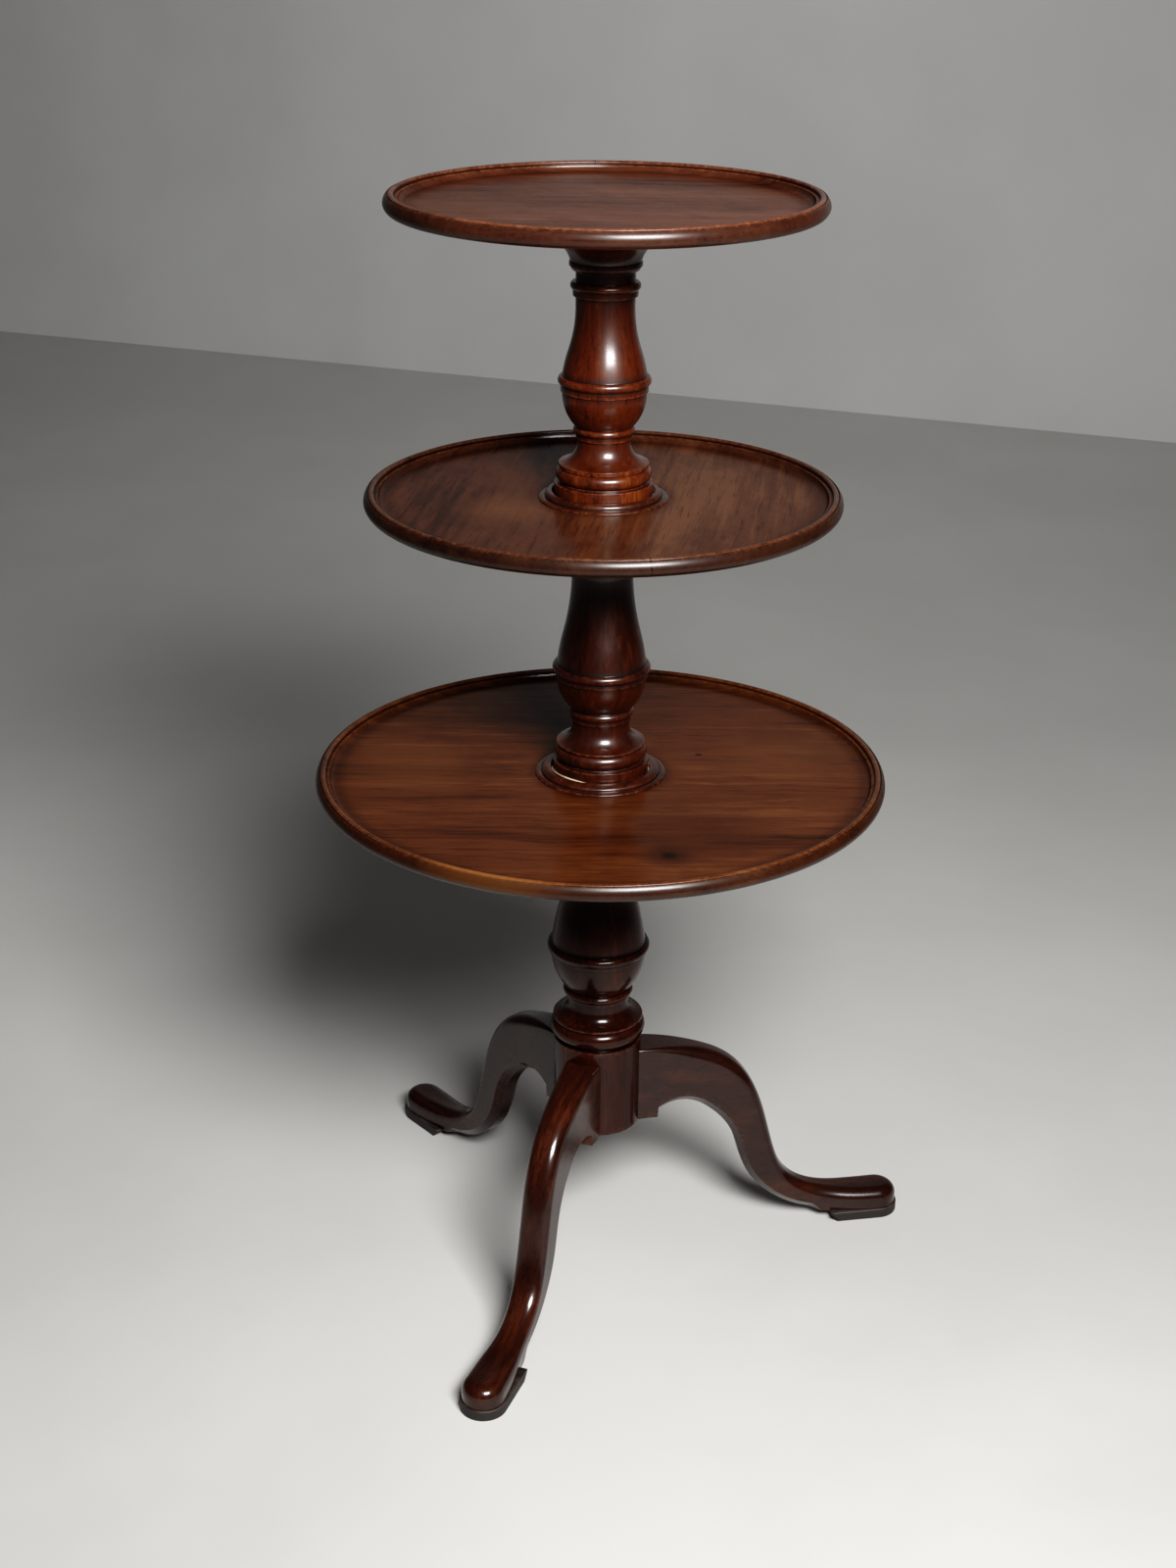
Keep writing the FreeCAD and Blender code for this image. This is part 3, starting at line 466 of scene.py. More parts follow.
LEG_ANGLES = {"right": math.radians(30), "left": math.radians(150), "front": math.radians(270)}
HUB_RADIUS = 48.2
HUB_HEIGHT = 104.0
ROOT_HALF = 20.0
ROOT_TOP = 248.0
flat_reach = math.sqrt(HUB_RADIUS ** 2 - ROOT_HALF ** 2)
flat_half_angle = math.asin(ROOT_HALF / HUB_RADIUS)
COLUMN_STEPS = 144
ANGLE_DECIMALS = 5
ANGLE_SLACK = 1e-4
hub_foot, spigot_end = ends("lower_pillar")
lower_rows = pillar_rows(
    hub_foot, spigot_end, socket=0, plinth=(HUB_RADIUS, HUB_HEIGHT), quirk=3, torus=(52.4, 22), fillet=2.5,
    scotia=(48.3, 16.5), neck=(33.4, 6), ring=(4, 3.5, 9), cup=(35.5, 41), belly=51.4, belt=(4, 3, 10),
    shoulder=(43.5, 42), throat=(36, 66), collarino=8, astragal=(7, 2.4, 10), band=12, echinus=7, annulet=5,
    capital=(58, 21), abacus=9)
corners = [angle + side * flat_half_angle for angle in LEG_ANGLES.values() for side in (-1, 1)]
round_angles = np.linspace(0, WHOLE_TURN, COLUMN_STEPS, endpoint=False)
hub_angles = np.append(round_angles, np.mod(corners, WHOLE_TURN))
hub_angles = np.unique(np.round(hub_angles, ANGLE_DECIMALS))
hub_grid = turned(lower_rows, hub_angles)
# each flat is planed back to the chord under its leg, up to the leg's top
for angle in LEG_ANGLES.values():
    out = np.array([math.cos(angle), math.sin(angle), 0.0])
    reach = hub_grid @ out
    beside = np.abs(np.sin(hub_angles - angle)) <= math.sin(flat_half_angle) + ANGLE_SLACK
    planed = (reach > flat_reach) & beside & (hub_grid[..., 2] < ROOT_TOP)
    hub_grid = hub_grid - np.where(planed, reach - flat_reach, 0.0)[..., None] * out
skin("lower_pillar_turned", hub_grid, lathe_marks(lower_rows), stand_wood, "stand", "lower_pillar")

# Cabriole legs: each is sawn from thick mahogany in two directions, its back rounded over and its
# under edges bevelled, and its root is dovetailed up into a flat of the hub.
SPUR_REACH = 67.0
SPUR_TOP = 164.0
ARCH_REACH = 120.0
ARCH_HEIGHT = 167.0
ARCH_RISE = -9.0
SHOULDER_REACH = 127.0
KNEE = (189.0, 199.0)
ANKLE = (202.0, 93.5)
INSTEP_REACH = 234.0
TOE_TOP_REACH = 328.0
TOE_TOP = 35.0
TOE_CENTRE = 335.0
TOE_RADIUS = 23.0
CALF = (166.0, 135.0)
SHANK = (152.0, 74.1)
HOLLOW_HEEL = (225.5, 15.4)
HEEL_REACH = 268.0
SOLE = 12.0
WAIST_REACH = 238.0
WAIST_HALF = 16.5
ROOT_ROUND = 2.0
BACK_ROUND = 13.0
ROUND_GROWN = 128.0
UNDER_BEVEL = 9.0
BEVEL_FADE = 16.0
SPUR_SLACK = 0.1


def pole_curve(poles, count):
    """A cubic curve by its poles, as the joiner's template is drawn: its weights are found by the usual
    blending of neighbouring weights, degree by degree, over even spans with the ends held."""
    poles = np.array(poles)
    spans = len(poles) - 3
    knots = np.concatenate([np.zeros(3), np.arange(spans + 1), np.full(3, spans)])
    where = np.linspace(0, spans, count)[:, None]
    inside = np.minimum(where, spans - 1e-9)
    weights = ((inside >= knots[:-1]) & (inside < knots[1:])).astype(float)
    for degree in (1, 2, 3):
        rise, fall = knots[degree:-1] - knots[:-degree - 1], knots[degree + 1:] - knots[1:-degree]
        none = np.zeros((count, len(rise)))
        up = np.divide(where - knots[:-degree - 1], rise, out=none.copy(), where=rise > 0)
        down = np.divide(knots[degree + 1:] - where, fall, out=none.copy(), where=fall > 0)
        weights = up * weights[:, :-1] + down * weights[:, 1:]
    return weights @ poles


def along_reach(line, shares):
    """Points of a polyline at shares of its length."""
    length = np.append(0, np.cumsum(np.abs(np.diff(line))))
    at = np.asarray(shares) * length[-1]
    return np.interp(at, length, line.real) + 1j * np.interp(at, length, line.imag)


def half_width(reach):
    """Half the leg's width in plan: it eases from the root to a waist, swells to the toe and ends round."""
    middle = (WAIST_REACH + TOE_CENTRE) / 2
    swell = (TOE_RADIUS - WAIST_HALF) / 2
    root = WAIST_HALF + (ROOT_HALF - WAIST_HALF) * ((WAIST_REACH - reach) / (WAIST_REACH - flat_reach)) ** 2
    near = WAIST_HALF + swell * ((reach - WAIST_REACH) / (middle - WAIST_REACH)) ** 2
    far = TOE_RADIUS - swell * ((TOE_CENTRE - reach) / (TOE_CENTRE - middle)) ** 2
    tip = np.sqrt(np.maximum(TOE_RADIUS ** 2 - (reach - TOE_CENTRE) ** 2, 0))
    zones = [reach < WAIST_REACH, reach < middle, reach < TOE_CENTRE]
    return np.select(zones, [root, near, far], tip)


def eased(share):
    """A share held between nothing and one, with a smooth start and end."""
    share = np.clip(share, 0, 1)
    return share * share * (3 - 2 * share)


CURVE_POINTS = 400
back_poles = [(flat_reach, ROOT_TOP), (SHOULDER_REACH, ROOT_TOP), KNEE, ANKLE, (INSTEP_REACH, TOE_TOP),
              (TOE_TOP_REACH, TOE_TOP)]
back = pole_curve(back_poles, CURVE_POINTS)
back = np.append(back[:, 0] + 1j * back[:, 1], complex(TOE_CENTRE, TOE_TOP))
arch = outline((flat_reach, hub_foot), (SPUR_REACH, hub_foot), (SPUR_REACH, SPUR_TOP),
               (ARCH_REACH, ARCH_HEIGHT, ARCH_RISE))
calf = pole_curve([(ARCH_REACH, ARCH_HEIGHT), CALF, SHANK, HOLLOW_HEEL, (HEEL_REACH, SOLE)], CURVE_POINTS)
under = np.concatenate([arch, calf[1:, 0] + 1j * calf[1:, 1], [complex(TOE_CENTRE, SOLE)]])

# stations pair points of the back with points of the underside, square across the leg
BACK_SHARES = (0.0, 0.046, 0.075, 0.14, 0.245, 0.40, 0.50, 0.62, 0.73, 0.86, 1.0)
UNDER_SHARES = (0.0, 0.064, 0.076, 0.15, 0.228, 0.36, 0.45, 0.60, 0.71, 0.83, 1.0)
STATIONS = 160
TIP_TURNS = np.radians(np.linspace(4, 88, 22))
even = np.linspace(0, 1, STATIONS)
knots = np.linspace(0, 1, len(BACK_SHARES))
tip = TOE_CENTRE + TOE_RADIUS * np.sin(TIP_TURNS)
top_line = np.append(along_reach(back, np.interp(even, knots, BACK_SHARES)), tip + 1j * TOE_TOP)
low_line = np.append(along_reach(under, np.interp(even, knots, UNDER_SHARES)), tip + 1j * SOLE)
BACK_COLUMNS = 17
SIDE_COLUMNS = 7
BEVEL_COLUMNS = 3
UNDER_COLUMNS = 4


def leg_grid(top_line, low_line):
    """Sections across the leg. Across the back the height falls as a quarter round of the distance to the
    side, and the round grows from a small arris at the root. The sides run straight down, a bevel cuts
    the under edge and a flat closes it below."""
    depth = np.abs(low_line - top_line)[:, None]
    across = np.sin(np.linspace(0, 1, BACK_COLUMNS) * math.pi / 2)
    reach = top_line.real[:, None]
    under_reach = low_line.real[:, None]
    grown = eased((reach - flat_reach) / (ROUND_GROWN - flat_reach))
    over = ROOT_ROUND + (BACK_ROUND - ROOT_ROUND) * grown
    wide = half_width(reach)
    side = wide * across
    from_tip = TOE_RADIUS - np.hypot(reach - TOE_CENTRE, side)
    from_side = np.where(reach <= TOE_CENTRE, wide - side, from_tip)
    short = np.clip(over - from_side, 0, over)
    fall = over - np.sqrt(over ** 2 - short ** 2)
    past_spur = under_reach > SPUR_REACH + SPUR_SLACK
    bevel = UNDER_BEVEL * eased((HEEL_REACH - under_reach) / BEVEL_FADE) * past_spur
    straight = np.linspace(0, 1, SIDE_COLUMNS + 1)[1:]
    slant = np.linspace(0, 1, BEVEL_COLUMNS + 1)[1:]
    home = np.linspace(1, 0, UNDER_COLUMNS + 1)[1:]
    under_wide = half_width(under_reach)
    down = over + straight * (depth - bevel - over)
    lower_wide = wide + (under_wide - wide) * straight
    offsets = np.hstack([side, lower_wide, under_wide - bevel * slant, (under_wide - bevel) * home])
    flat = np.broadcast_to(depth, (len(depth), UNDER_COLUMNS))
    depths = np.hstack([fall, down, depth - bevel + bevel * slant, flat])
    offsets = np.hstack([offsets, -offsets[:, -2:0:-1]])
    depths = np.hstack([depths, depths[:, -2:0:-1]])
    line = top_line[:, None] + (low_line - top_line)[:, None] * depths / depth
    return np.stack([line.real, offsets, line.imag], axis=-1)


def spun(grid, angle):
    """A grid drawn along the X axis, turned about the column."""
    c, s = math.cos(angle), math.sin(angle)
    x, y = grid[..., 0], grid[..., 1]
    return np.stack([c * x - s * y, s * x + c * y, grid[..., 2]], axis=-1)


LEG_ARRIS_GLINT = 0.6
SHARP_ARRIS = math.radians(34)
LEG_GRAIN = (0.10, 1.0, 0.35)
LEG_FIGURE = 7.0
LEG_SHEEN = 0.05
leg_shape = leg_grid(top_line, low_line)
half_section = np.zeros(BACK_COLUMNS + SIDE_COLUMNS + BEVEL_COLUMNS + UNDER_COLUMNS)
# only the two arrises of the bevel get a pale painted highlight, and the rounded back doesn't
for arris in np.cumsum([BACK_COLUMNS, SIDE_COLUMNS, BEVEL_COLUMNS])[1:]:
    half_section[arris - 1:arris + 1] = LEG_ARRIS_GLINT
whole_section = np.append(half_section, half_section[-2:0:-1])
leg_marks = {"edge": whole_section[None, :], "hollow": np.zeros((1, 1))}
leg_dark = (0.0075, 0.0017, 0.0009)
leg_warm = (0.0200, 0.0050, 0.0025)
leg_light = (0.0480, 0.0135, 0.0058)
# the front leg is painted lighter, as lit, and the other two darker, as shaded: lit and shaded copies of
# one wood
leg_lit_and_shaded_tones = {"right": 0.72, "left": 0.72, "front": 1.1}
for side, angle in LEG_ANGLES.items():
    painted_tones = [np.multiply(colour, leg_lit_and_shaded_tones[side]) for colour in (leg_dark, leg_warm, leg_light)]
    leg_wood = mahogany("leg mahogany " + side, *painted_tones, LEG_GRAIN, -angle, LEG_FIGURE, sheen=LEG_SHEEN)
    leg = skin("leg_" + side + "_carved", spun(leg_shape, angle), leg_marks, leg_wood, "stand",
               "leg_" + side)
    leg.data.set_sharp_from_angle(angle=SHARP_ARRIS)

# Foot pads: dark wooden soles glued under the toes, round in front and bevelled under the heel.
# They lift the polished toes off the floor and wear instead of them.
PAD_RADIUS = 25.0
PAD_HEEL = 276.0
PAD_BEVEL = 9.0
PAD_ARRIS = 1.2
PAD_LEVELS = (0, 0.15, 0.5, 1.2, 3, 5, 7, 9, 10.2, 10.8, 11.5, 11.85, 12.0)
PAD_FRONT_POINTS = 41
PAD_HEEL_POINTS = 13
PAD_SIDE_POINTS = 10


def pad_grid():
    """Levels of a D-shaped outline: a straight heel, straight sides and a half round. The outline draws in
    by a quarter round at its top and bottom arrises, and the heel runs back as the level rises."""
    turn = np.linspace(-math.pi / 2, math.pi / 2, PAD_FRONT_POINTS)
    heel_y = np.linspace(1, -1, PAD_HEEL_POINTS)
    sides = np.linspace(0, 1, PAD_SIDE_POINTS)[1:-1]
    level = np.array(PAD_LEVELS)[:, None]
    edge = np.minimum(np.minimum(level, SOLE - level), PAD_ARRIS)
    inset = PAD_ARRIS - np.sqrt(PAD_ARRIS ** 2 - (PAD_ARRIS - edge) ** 2)
    heel = PAD_HEEL + np.maximum(0, PAD_BEVEL - level) + inset
    half = PAD_RADIUS - inset
    front_x, front_y = TOE_CENTRE + half * np.cos(turn), half * np.sin(turn)
    upper_x, upper_y = TOE_CENTRE + (heel - TOE_CENTRE) * sides, half + 0 * sides
    heel_x, heel_line = heel + 0 * heel_y, half * heel_y
    lower_x, lower_y = heel + (TOE_CENTRE - heel) * sides, -half + 0 * sides
    x = np.hstack([front_x, upper_x, heel_x, lower_x])
    y = np.hstack([front_y, upper_y, heel_line, lower_y])
    return np.stack([x, y, np.broadcast_to(level, x.shape)], axis=-1)


PAD_GRAIN = (0.3, 1, 1)
PAD_EDGE_WEAR = 0.7
pad_black = (0.006, 0.0045, 0.004)
pad_brown = (0.016, 0.012, 0.010)
pad_worn = (0.045, 0.030, 0.022)
pad_finish = Finish("ebonised pad")
pad_fibre = pad_finish.noise(pad_finish.mapped(PAD_GRAIN), scale=60.0, detail=5.0, rough=0.7)
pad_rubbed = pad_finish.span(pad_fibre, low=0.4, high=0.65)
pad_scuff = pad_finish.reckon("MULTIPLY", pad_finish.mark("edge"), pad_rubbed)
pad_colour = pad_finish.blend(pad_fibre, pad_black, pad_brown)
pad_colour = pad_finish.blend(pad_scuff, pad_colour, pad_worn)
pad_finish.dress(pad_colour, pad_fibre, smoothest=0.45, dullest=0.7)
pad_finish.bump(pad_fibre, depth=0.0006, strength=0.4)
pad_shape = pad_grid()
pad_level = np.array(PAD_LEVELS)[:, None]
pad_rims = np.minimum(pad_level, SOLE - pad_level) < PAD_ARRIS
pad_marks = {"edge": PAD_EDGE_WEAR * pad_rims}
for side, angle in LEG_ANGLES.items():
    skin("foot_pad_" + side + "_sole", spun(pad_shape, angle), pad_marks, pad_finish.material, "stand",
         "foot_pad_" + side)

# Brace and screws: a blackened iron plate let under the hub, with an arm across each leg's root.
# Countersunk steel screws hold it, and four more hold the bearer to the top tray.
iron_black = (0.012, 0.011, 0.010)
iron_grey = (0.035, 0.032, 0.030)
rust_brown = (0.060, 0.025, 0.012)
iron = Finish("blackened iron")
iron_pits = iron.noise(iron.place, scale=140.0, detail=6.0, rough=0.7)
rust_blooms = iron.noise(iron.place, scale=45.0, detail=4.0, rough=0.6)
iron_rust = iron.span(rust_blooms, low=0.55, high=0.72, to_high=0.6)
iron_colour = iron.blend(iron_pits, iron_black, iron_grey)
iron_colour = iron.blend(iron_rust, iron_colour, rust_brown)
iron.dress(iron_colour, iron_pits, smoothest=0.45, dullest=0.7)
iron.bump(iron_pits, depth=0.0005, strength=0.5)
iron.shader.inputs["Metallic"].default_value = 0.85
steel_dull = (0.10, 0.085, 0.07)
steel_bright = (0.32, 0.30, 0.28)
steel = Finish("tarnished screw steel")
steel_film = steel.noise(steel.place, scale=260.0, detail=4.0, rough=0.65)
steel_colour = steel.blend(steel_film, steel_dull, steel_bright)
steel.dress(steel_colour, steel_film, smoothest=0.28, dullest=0.5)
steel.bump(steel_film, depth=0.0002, strength=0.3)
steel.shader.inputs["Metallic"].default_value = 1.0


def finish_node(node, material):
    """Gives a CAD node, whose shape is right as it is, its finish."""
    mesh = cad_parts[node].data
    mesh.materials.clear()
    mesh.materials.append(material)


finish_node("brace_plate", iron.material)
finish_node("brace_screws", steel.material)
finish_node("bearer_screws", steel.material)

# Washers: soft leather rings, undyed and rubbed, under each tray and each upper plinth.
# The one on the lower tray has curled up, so a pale crescent of it shows inside the collar.
leather_buff = (0.46, 0.34, 0.23)
leather_cream = (0.70, 0.56, 0.42)
leather_oily = (0.22, 0.12, 0.06)
leather = Finish("washer leather")
leather_pores = leather.noise(leather.place, scale=420.0, detail=5.0, rough=0.7)
leather_patches = leather.noise(leather.place, scale=60.0, detail=3.0, rough=0.6)
leather_stain = leather.span(leather_patches, low=0.5, high=0.75, to_high=0.6)
leather_colour = leather.blend(leather_pores, leather_buff, leather_cream)
leather_colour = leather.blend(leather_stain, leather_colour, leather_oily)
leather.dress(leather_colour, leather_pores, smoothest=0.6, dullest=0.85)
leather.bump(leather_pores, depth=0.0003, strength=0.5)
for node in ("lower_seat_washer", "middle_seat_washer", "middle_plinth_washer", "top_seat_washer"):
    finish_node(node, leather.material)
BORE = 17.3
MIDDLE_PLINTH = 50.2
UPPER_PLINTH = 49.9
WASHER = 2.0
WASHER_SHOW = 1.4
PLINTH_GAP = 0.3
CURL_HEIGHT = 8.4
CURL_BEARING = math.radians(250)
CURL_HALF_ANGLE = math.radians(80)


def curled_washer(node, plinth):
    """A flat ring with a thin rim round the plinth. The rim's height over the ring falls off smoothly with
    the angle from the bearing where the leather curls up."""
    base = ends(node)[0]
    inner, outer = plinth + PLINTH_GAP, plinth + WASHER_SHOW
    line = outline((BORE, base), (outer, base), (outer, base + CURL_HEIGHT), (inner, base + CURL_HEIGHT),
                   (inner, base + WASHER), (BORE, base + WASHER))
    grid = turned(soft_rows(line, closed=True), round_angles)
    aside = np.abs(np.angle(np.exp(1j * (round_angles - CURL_BEARING))))
    flat = 1 - eased(1 - aside / CURL_HALF_ANGLE)
    grid[..., 2] -= flat * np.maximum(grid[..., 2] - base - WASHER, 0)
    skin(node + "_curled", grid, {}, leather.material, "stand", node, closed=True)


curled_washer("lower_plinth_washer", MIDDLE_PLINTH)

# Lower tray: one wide mahogany board, dished on the lathe so that a moulded rim stands round it.
# It is bored for the pillar's spigot and turns freely on its leather washer. Its floor is rubbed dull,
# and handling has kept its rim bright.
RIM_HEIGHT = 18.5
RIM_UNDER_WIDTH = 10.0
RIM_EDGE_HEIGHT = 8.5
RIM_EDGE_SWELL = 2.6
RIM_BEAD_WIDTH = 4.0
RIM_BEAD_SWELL = 1.0
RIM_QUIRK_WIDTH = 1.2
RIM_QUIRK_DEPTH = 1.6
RIM_ROLL_WIDTH = 5.4
RIM_ROLL_RISE = 1.2
RIM_STEP = 2.6
RIM_FILLET_WIDTH = 4.0
RIM_COVE_WIDTH = 6.0
RIM_COVE_HOLLOW = -1.6
POLISHED_WIDTH = RIM_BEAD_WIDTH + RIM_QUIRK_WIDTH + RIM_ROLL_WIDTH
RIM_WIDTH = POLISHED_WIDTH + RIM_FILLET_WIDTH + RIM_COVE_WIDTH
TRAY_STEPS = 288
tray_angles = np.linspace(0, WHOLE_TURN, TRAY_STEPS, endpoint=False)


def tray_rows(base, radius, board, bore):
    """The outline of a dished tray: flat below, a rounded edge, a bead, a quirk, a roll, a step and fillet,
    a cove down to the floor, and the floor back to the bore, or to the middle where there is none."""
    crown = base + RIM_HEIGHT - RIM_ROLL_RISE
    quirk = crown - RIM_QUIRK_DEPTH
    step = crown - RIM_STEP
    bead = radius - RIM_BEAD_WIDTH
    roll_outer = bead - RIM_QUIRK_WIDTH
    roll_inner = roll_outer - RIM_ROLL_WIDTH
    fillet = roll_inner - RIM_FILLET_WIDTH
    floor = base + board
    line = outline(
        (bore, base), (radius - RIM_UNDER_WIDTH, base), (radius, base + RIM_EDGE_HEIGHT, RIM_EDGE_SWELL),
        (bead, crown, RIM_BEAD_SWELL), (bead, quirk), (roll_outer, quirk), (roll_outer, crown),
        (roll_inner, crown, RIM_ROLL_RISE), (roll_inner, step), (fillet, step),
        (fillet - RIM_COVE_WIDTH, floor, RIM_COVE_HOLLOW), (bore, floor))
    return soft_rows(line, closed=bore == BORE)


BOARD_FIGURE = 4.5
FLOOR_GLOSS = 0.38
FLOOR_FILM = 0.2
FLOOR_SHEEN = 0.006
RIM_GLOSS = 0.6
RIM_FILM = 0.26
RIM_SHEEN = 0.06


def board_woods(name, dark, warm, light, grain, turn, wear, spots=(), rim_spots=(), cracks=()):
    """A board's finish twice over: rubbed dull on its floor, and bright with handling on its rim."""
    colours = dark, warm, light, grain, turn, BOARD_FIGURE, wear
    floor = mahogany(name + " mahogany", *colours, FLOOR_GLOSS, FLOOR_FILM, FLOOR_SHEEN, spots)
    rim = mahogany(name + " rim mahogany", *colours, RIM_GLOSS, RIM_FILM, RIM_SHEEN, rim_spots, cracks)
    return floor, rim


# how a tray is darkened: at its outer edge, round its cove, and in a ring of painted shade with wax round
# the collar's foot
RIM_EDGE_DARKENING = 0.74
RIM_DARK_WIDTH = 6.0
RING_SHADE_AND_WAX = 0.5
RING_SHADE_WIDTH = 12.0
COVE_DARKENING = 0.5
COVE_DARK_WIDTH = 16.0


def tray(name, radius, board, woods, body, shade_and_wax_ring=0.0):
    """A tray turned as one closed ring, or as a dish closed in the middle where it isn't bored. Its outer
    edge is darkened, fully over half that band's width and fading over the rest, and a band round the cove
    is darkened too. A ring on the floor round the collar's foot has painted shade with wax, most in the
    middle of its band."""
    bored = body != "top_tier"
    floor_wood, rim_wood = woods
    rows = tray_rows(ends(name)[0], radius, board, BORE if bored else AXIS)
    reach = rows[0]
    marks = lathe_marks(rows)
    edge_dark = RIM_EDGE_DARKENING * eased(2 * (reach - radius) / RIM_DARK_WIDTH + 2)
    # painted shade with wax on the floor round the collar's foot
    ring = RING_SHADE_AND_WAX * eased(1 - np.abs(reach - shade_and_wax_ring) / RING_SHADE_WIDTH)
    cove = COVE_DARKENING * eased(1 - np.abs(reach - radius + RIM_WIDTH) / COVE_DARK_WIDTH)
    darkened_bands = np.maximum(np.maximum(edge_dark, ring), cove)[:, None]
    marks["hollow"] = np.maximum(marks["hollow"], darkened_bands)
    dish = skin(name + "_dished", turned(rows, tray_angles), marks, floor_wood, body, name,
                closed=bored)
    dish.data.materials.append(rim_wood)
    # the faces come row by row, so each row's faces take the wood of that row
    on_rim = np.zeros(len(dish.data.polygons), np.int32)
    on_rim[:len(reach) * TRAY_STEPS] = np.repeat(reach > radius - POLISHED_WIDTH, TRAY_STEPS)
    dish.data.polygons.foreach_set("material_index", on_rim)


COLLAR_GAP = 2.3
COLLAR_TOE_WIDTH = 6.5


def collar_edge(plinth, width):
    """A collar's outer radius: the plinth's, then the gap round it, the collar's width and its toe."""
    return plinth + COLLAR_GAP + width + COLLAR_TOE_WIDTH


LOWER_RADIUS = 300.0
LOWER_BOARD = 10.0
LOWER_COLLAR_WIDTH = 9.8
GRAIN_ACROSS = (0.06, 1.0, 1.0)
LOWER_GRAIN_TURN = math.radians(-20)
BOARD_WEAR = 0.5
KNOT = (0.135, -0.174, 0.581)
knot_black = (0.006, 0.002, 0.001)
knot_brown = (0.018, 0.005, 0.002)
glint_orange = (0.210, 0.080, 0.024)
lower_dark = (0.0260, 0.0074, 0.0024)
lower_warm = (0.0680, 0.0205, 0.0070)
lower_light = (0.1250, 0.0440, 0.0150)
# each mark is a spot: its place, where its fade starts and ends, its colour and its share
knot = (KNOT, 0.002, 0.012, knot_black, 0.85)
knot_ring = (KNOT, 0.008, 0.034, knot_brown, 0.6)
ink_spot = ((0.083, 0.081, 0.581), 0.001, 0.006, knot_black, 0.8)
knot_shade = ((0.135, -0.115, 0.581), 0.020, 0.120, lower_dark, 0.5)
left_rub = ((-0.193, -0.056, 0.581), 0.020, 0.110, lower_light, 0.35)
right_rub = ((0.170, 0.120, 0.581), 0.020, 0.100, lower_light, 0.3)
# a painted highlight: a bright orange patch painted on the rim at the front left
rim_painted_glint = ((-0.010, -0.296, 0.586), 0.015, 0.100, glint_orange, 0.6)
floor_spots = (left_rub, right_rub, knot_shade, knot_ring, knot, ink_spot)
lower_woods = board_woods("lower tray", lower_dark, lower_warm, lower_light, GRAIN_ACROSS,
                          LOWER_GRAIN_TURN, BOARD_WEAR, floor_spots, rim_spots=(rim_painted_glint,))
tray("lower_tray", LOWER_RADIUS, LOWER_BOARD, lower_woods, "lower_tier",
     shade_and_wax_ring=collar_edge(MIDDLE_PLINTH, LOWER_COLLAR_WIDTH))

# Collars: rings of turned mahogany, glued to a tray round the next pillar's plinth to hide the turning
# joint. Each leaves a narrow gap round the plinth and turns with its tray.
COLLAR_HEIGHT = 8.0
COLLAR_LIP = 2.5
COLLAR_ROUND = 1.0
COLLAR_SIDE = 2.2
COLLAR_TOE_HEIGHT = 2.4
COLLAR_TOE_ROUND = 0.8
MIDDLE_COLLAR_WIDTH = 6.8
COLLAR_GRAIN = (1.0, 0.2, 1.0)
COLLAR_GRAIN_TURN = 0.4
collar_dark = (0.0085, 0.0017, 0.0007)
collar_warm = (0.0290, 0.0060, 0.0018)
collar_light = (0.0720, 0.0190, 0.0050)
collar_wood = mahogany("collar mahogany", collar_dark, collar_warm, collar_light, COLLAR_GRAIN,
                       COLLAR_GRAIN_TURN, POST_FIGURE, sheen=POST_SHEEN)


def turnery(name, rows, wood, body, node, closed=False):
    """A piece that is round all the way: its rows carried round the column."""
    skin(name, turned(rows, round_angles), lathe_marks(rows), wood, body, node, closed)


def collar(name, plinth, width, body):
    """The outline of a collar: a toe with a rounded edge, a low side, a round up to a flat lip."""
    base = ends(name)[0]
    inner = plinth + COLLAR_GAP
    side = inner + width
    outer = collar_edge(plinth, width)
    toe, crown = base + COLLAR_TOE_HEIGHT, base + COLLAR_HEIGHT
    line = outline(
        (inner, base), (outer, base), (outer, base + COLLAR_TOE_HEIGHT / 2), (side, toe, COLLAR_TOE_ROUND),
        (side, toe + COLLAR_SIDE), (inner + COLLAR_LIP, crown, COLLAR_ROUND), (inner, crown))
    rows = soft_rows(line, closed=True)
    turnery(name + "_moulded", rows, collar_wood, body, name, closed=True)


collar("lower_collar", MIDDLE_PLINTH, LOWER_COLLAR_WIDTH, "lower_tier")
collar("middle_collar", UPPER_PLINTH, MIDDLE_COLLAR_WIDTH, "middle_tier")

# Middle pillar: a shorter baluster of mahogany in the same mouldings, glued by its socket on the lower
# spigot. Its own spigot carries the middle tray.
PILLAR_SOCKET = 40.0
baluster_dark = (0.0075, 0.0014, 0.0005)
baluster_warm = (0.0290, 0.0054, 0.0014)
baluster_light = (0.0720, 0.0175, 0.0042)
baluster_wood = mahogany("middle pillar mahogany", baluster_dark, baluster_warm, baluster_light,
                         UPRIGHT_GRAIN, figure=POST_FIGURE, film=POST_FILM, sheen=POST_SHEEN)
middle_rows = pillar_rows(
    *ends("middle_pillar"), socket=PILLAR_SOCKET, plinth=(MIDDLE_PLINTH, 15), quirk=1.5, torus=(48.8, 16),
    fillet=2, scotia=(45.5, 18.5), neck=(30, 7), ring=(5, 2.4, 8), cup=(32, 34), belly=46.6,
    belt=(5, 3.1, 9.5), shoulder=(40.4, 33), throat=(31.6, 57.5), collarino=8, astragal=(6.5, 2.2, 9.5),
    band=11, echinus=6.5, annulet=4.5, capital=(52, 20), abacus=9)
turnery("middle_pillar_turned", middle_rows, baluster_wood, "stand", "middle_pillar")

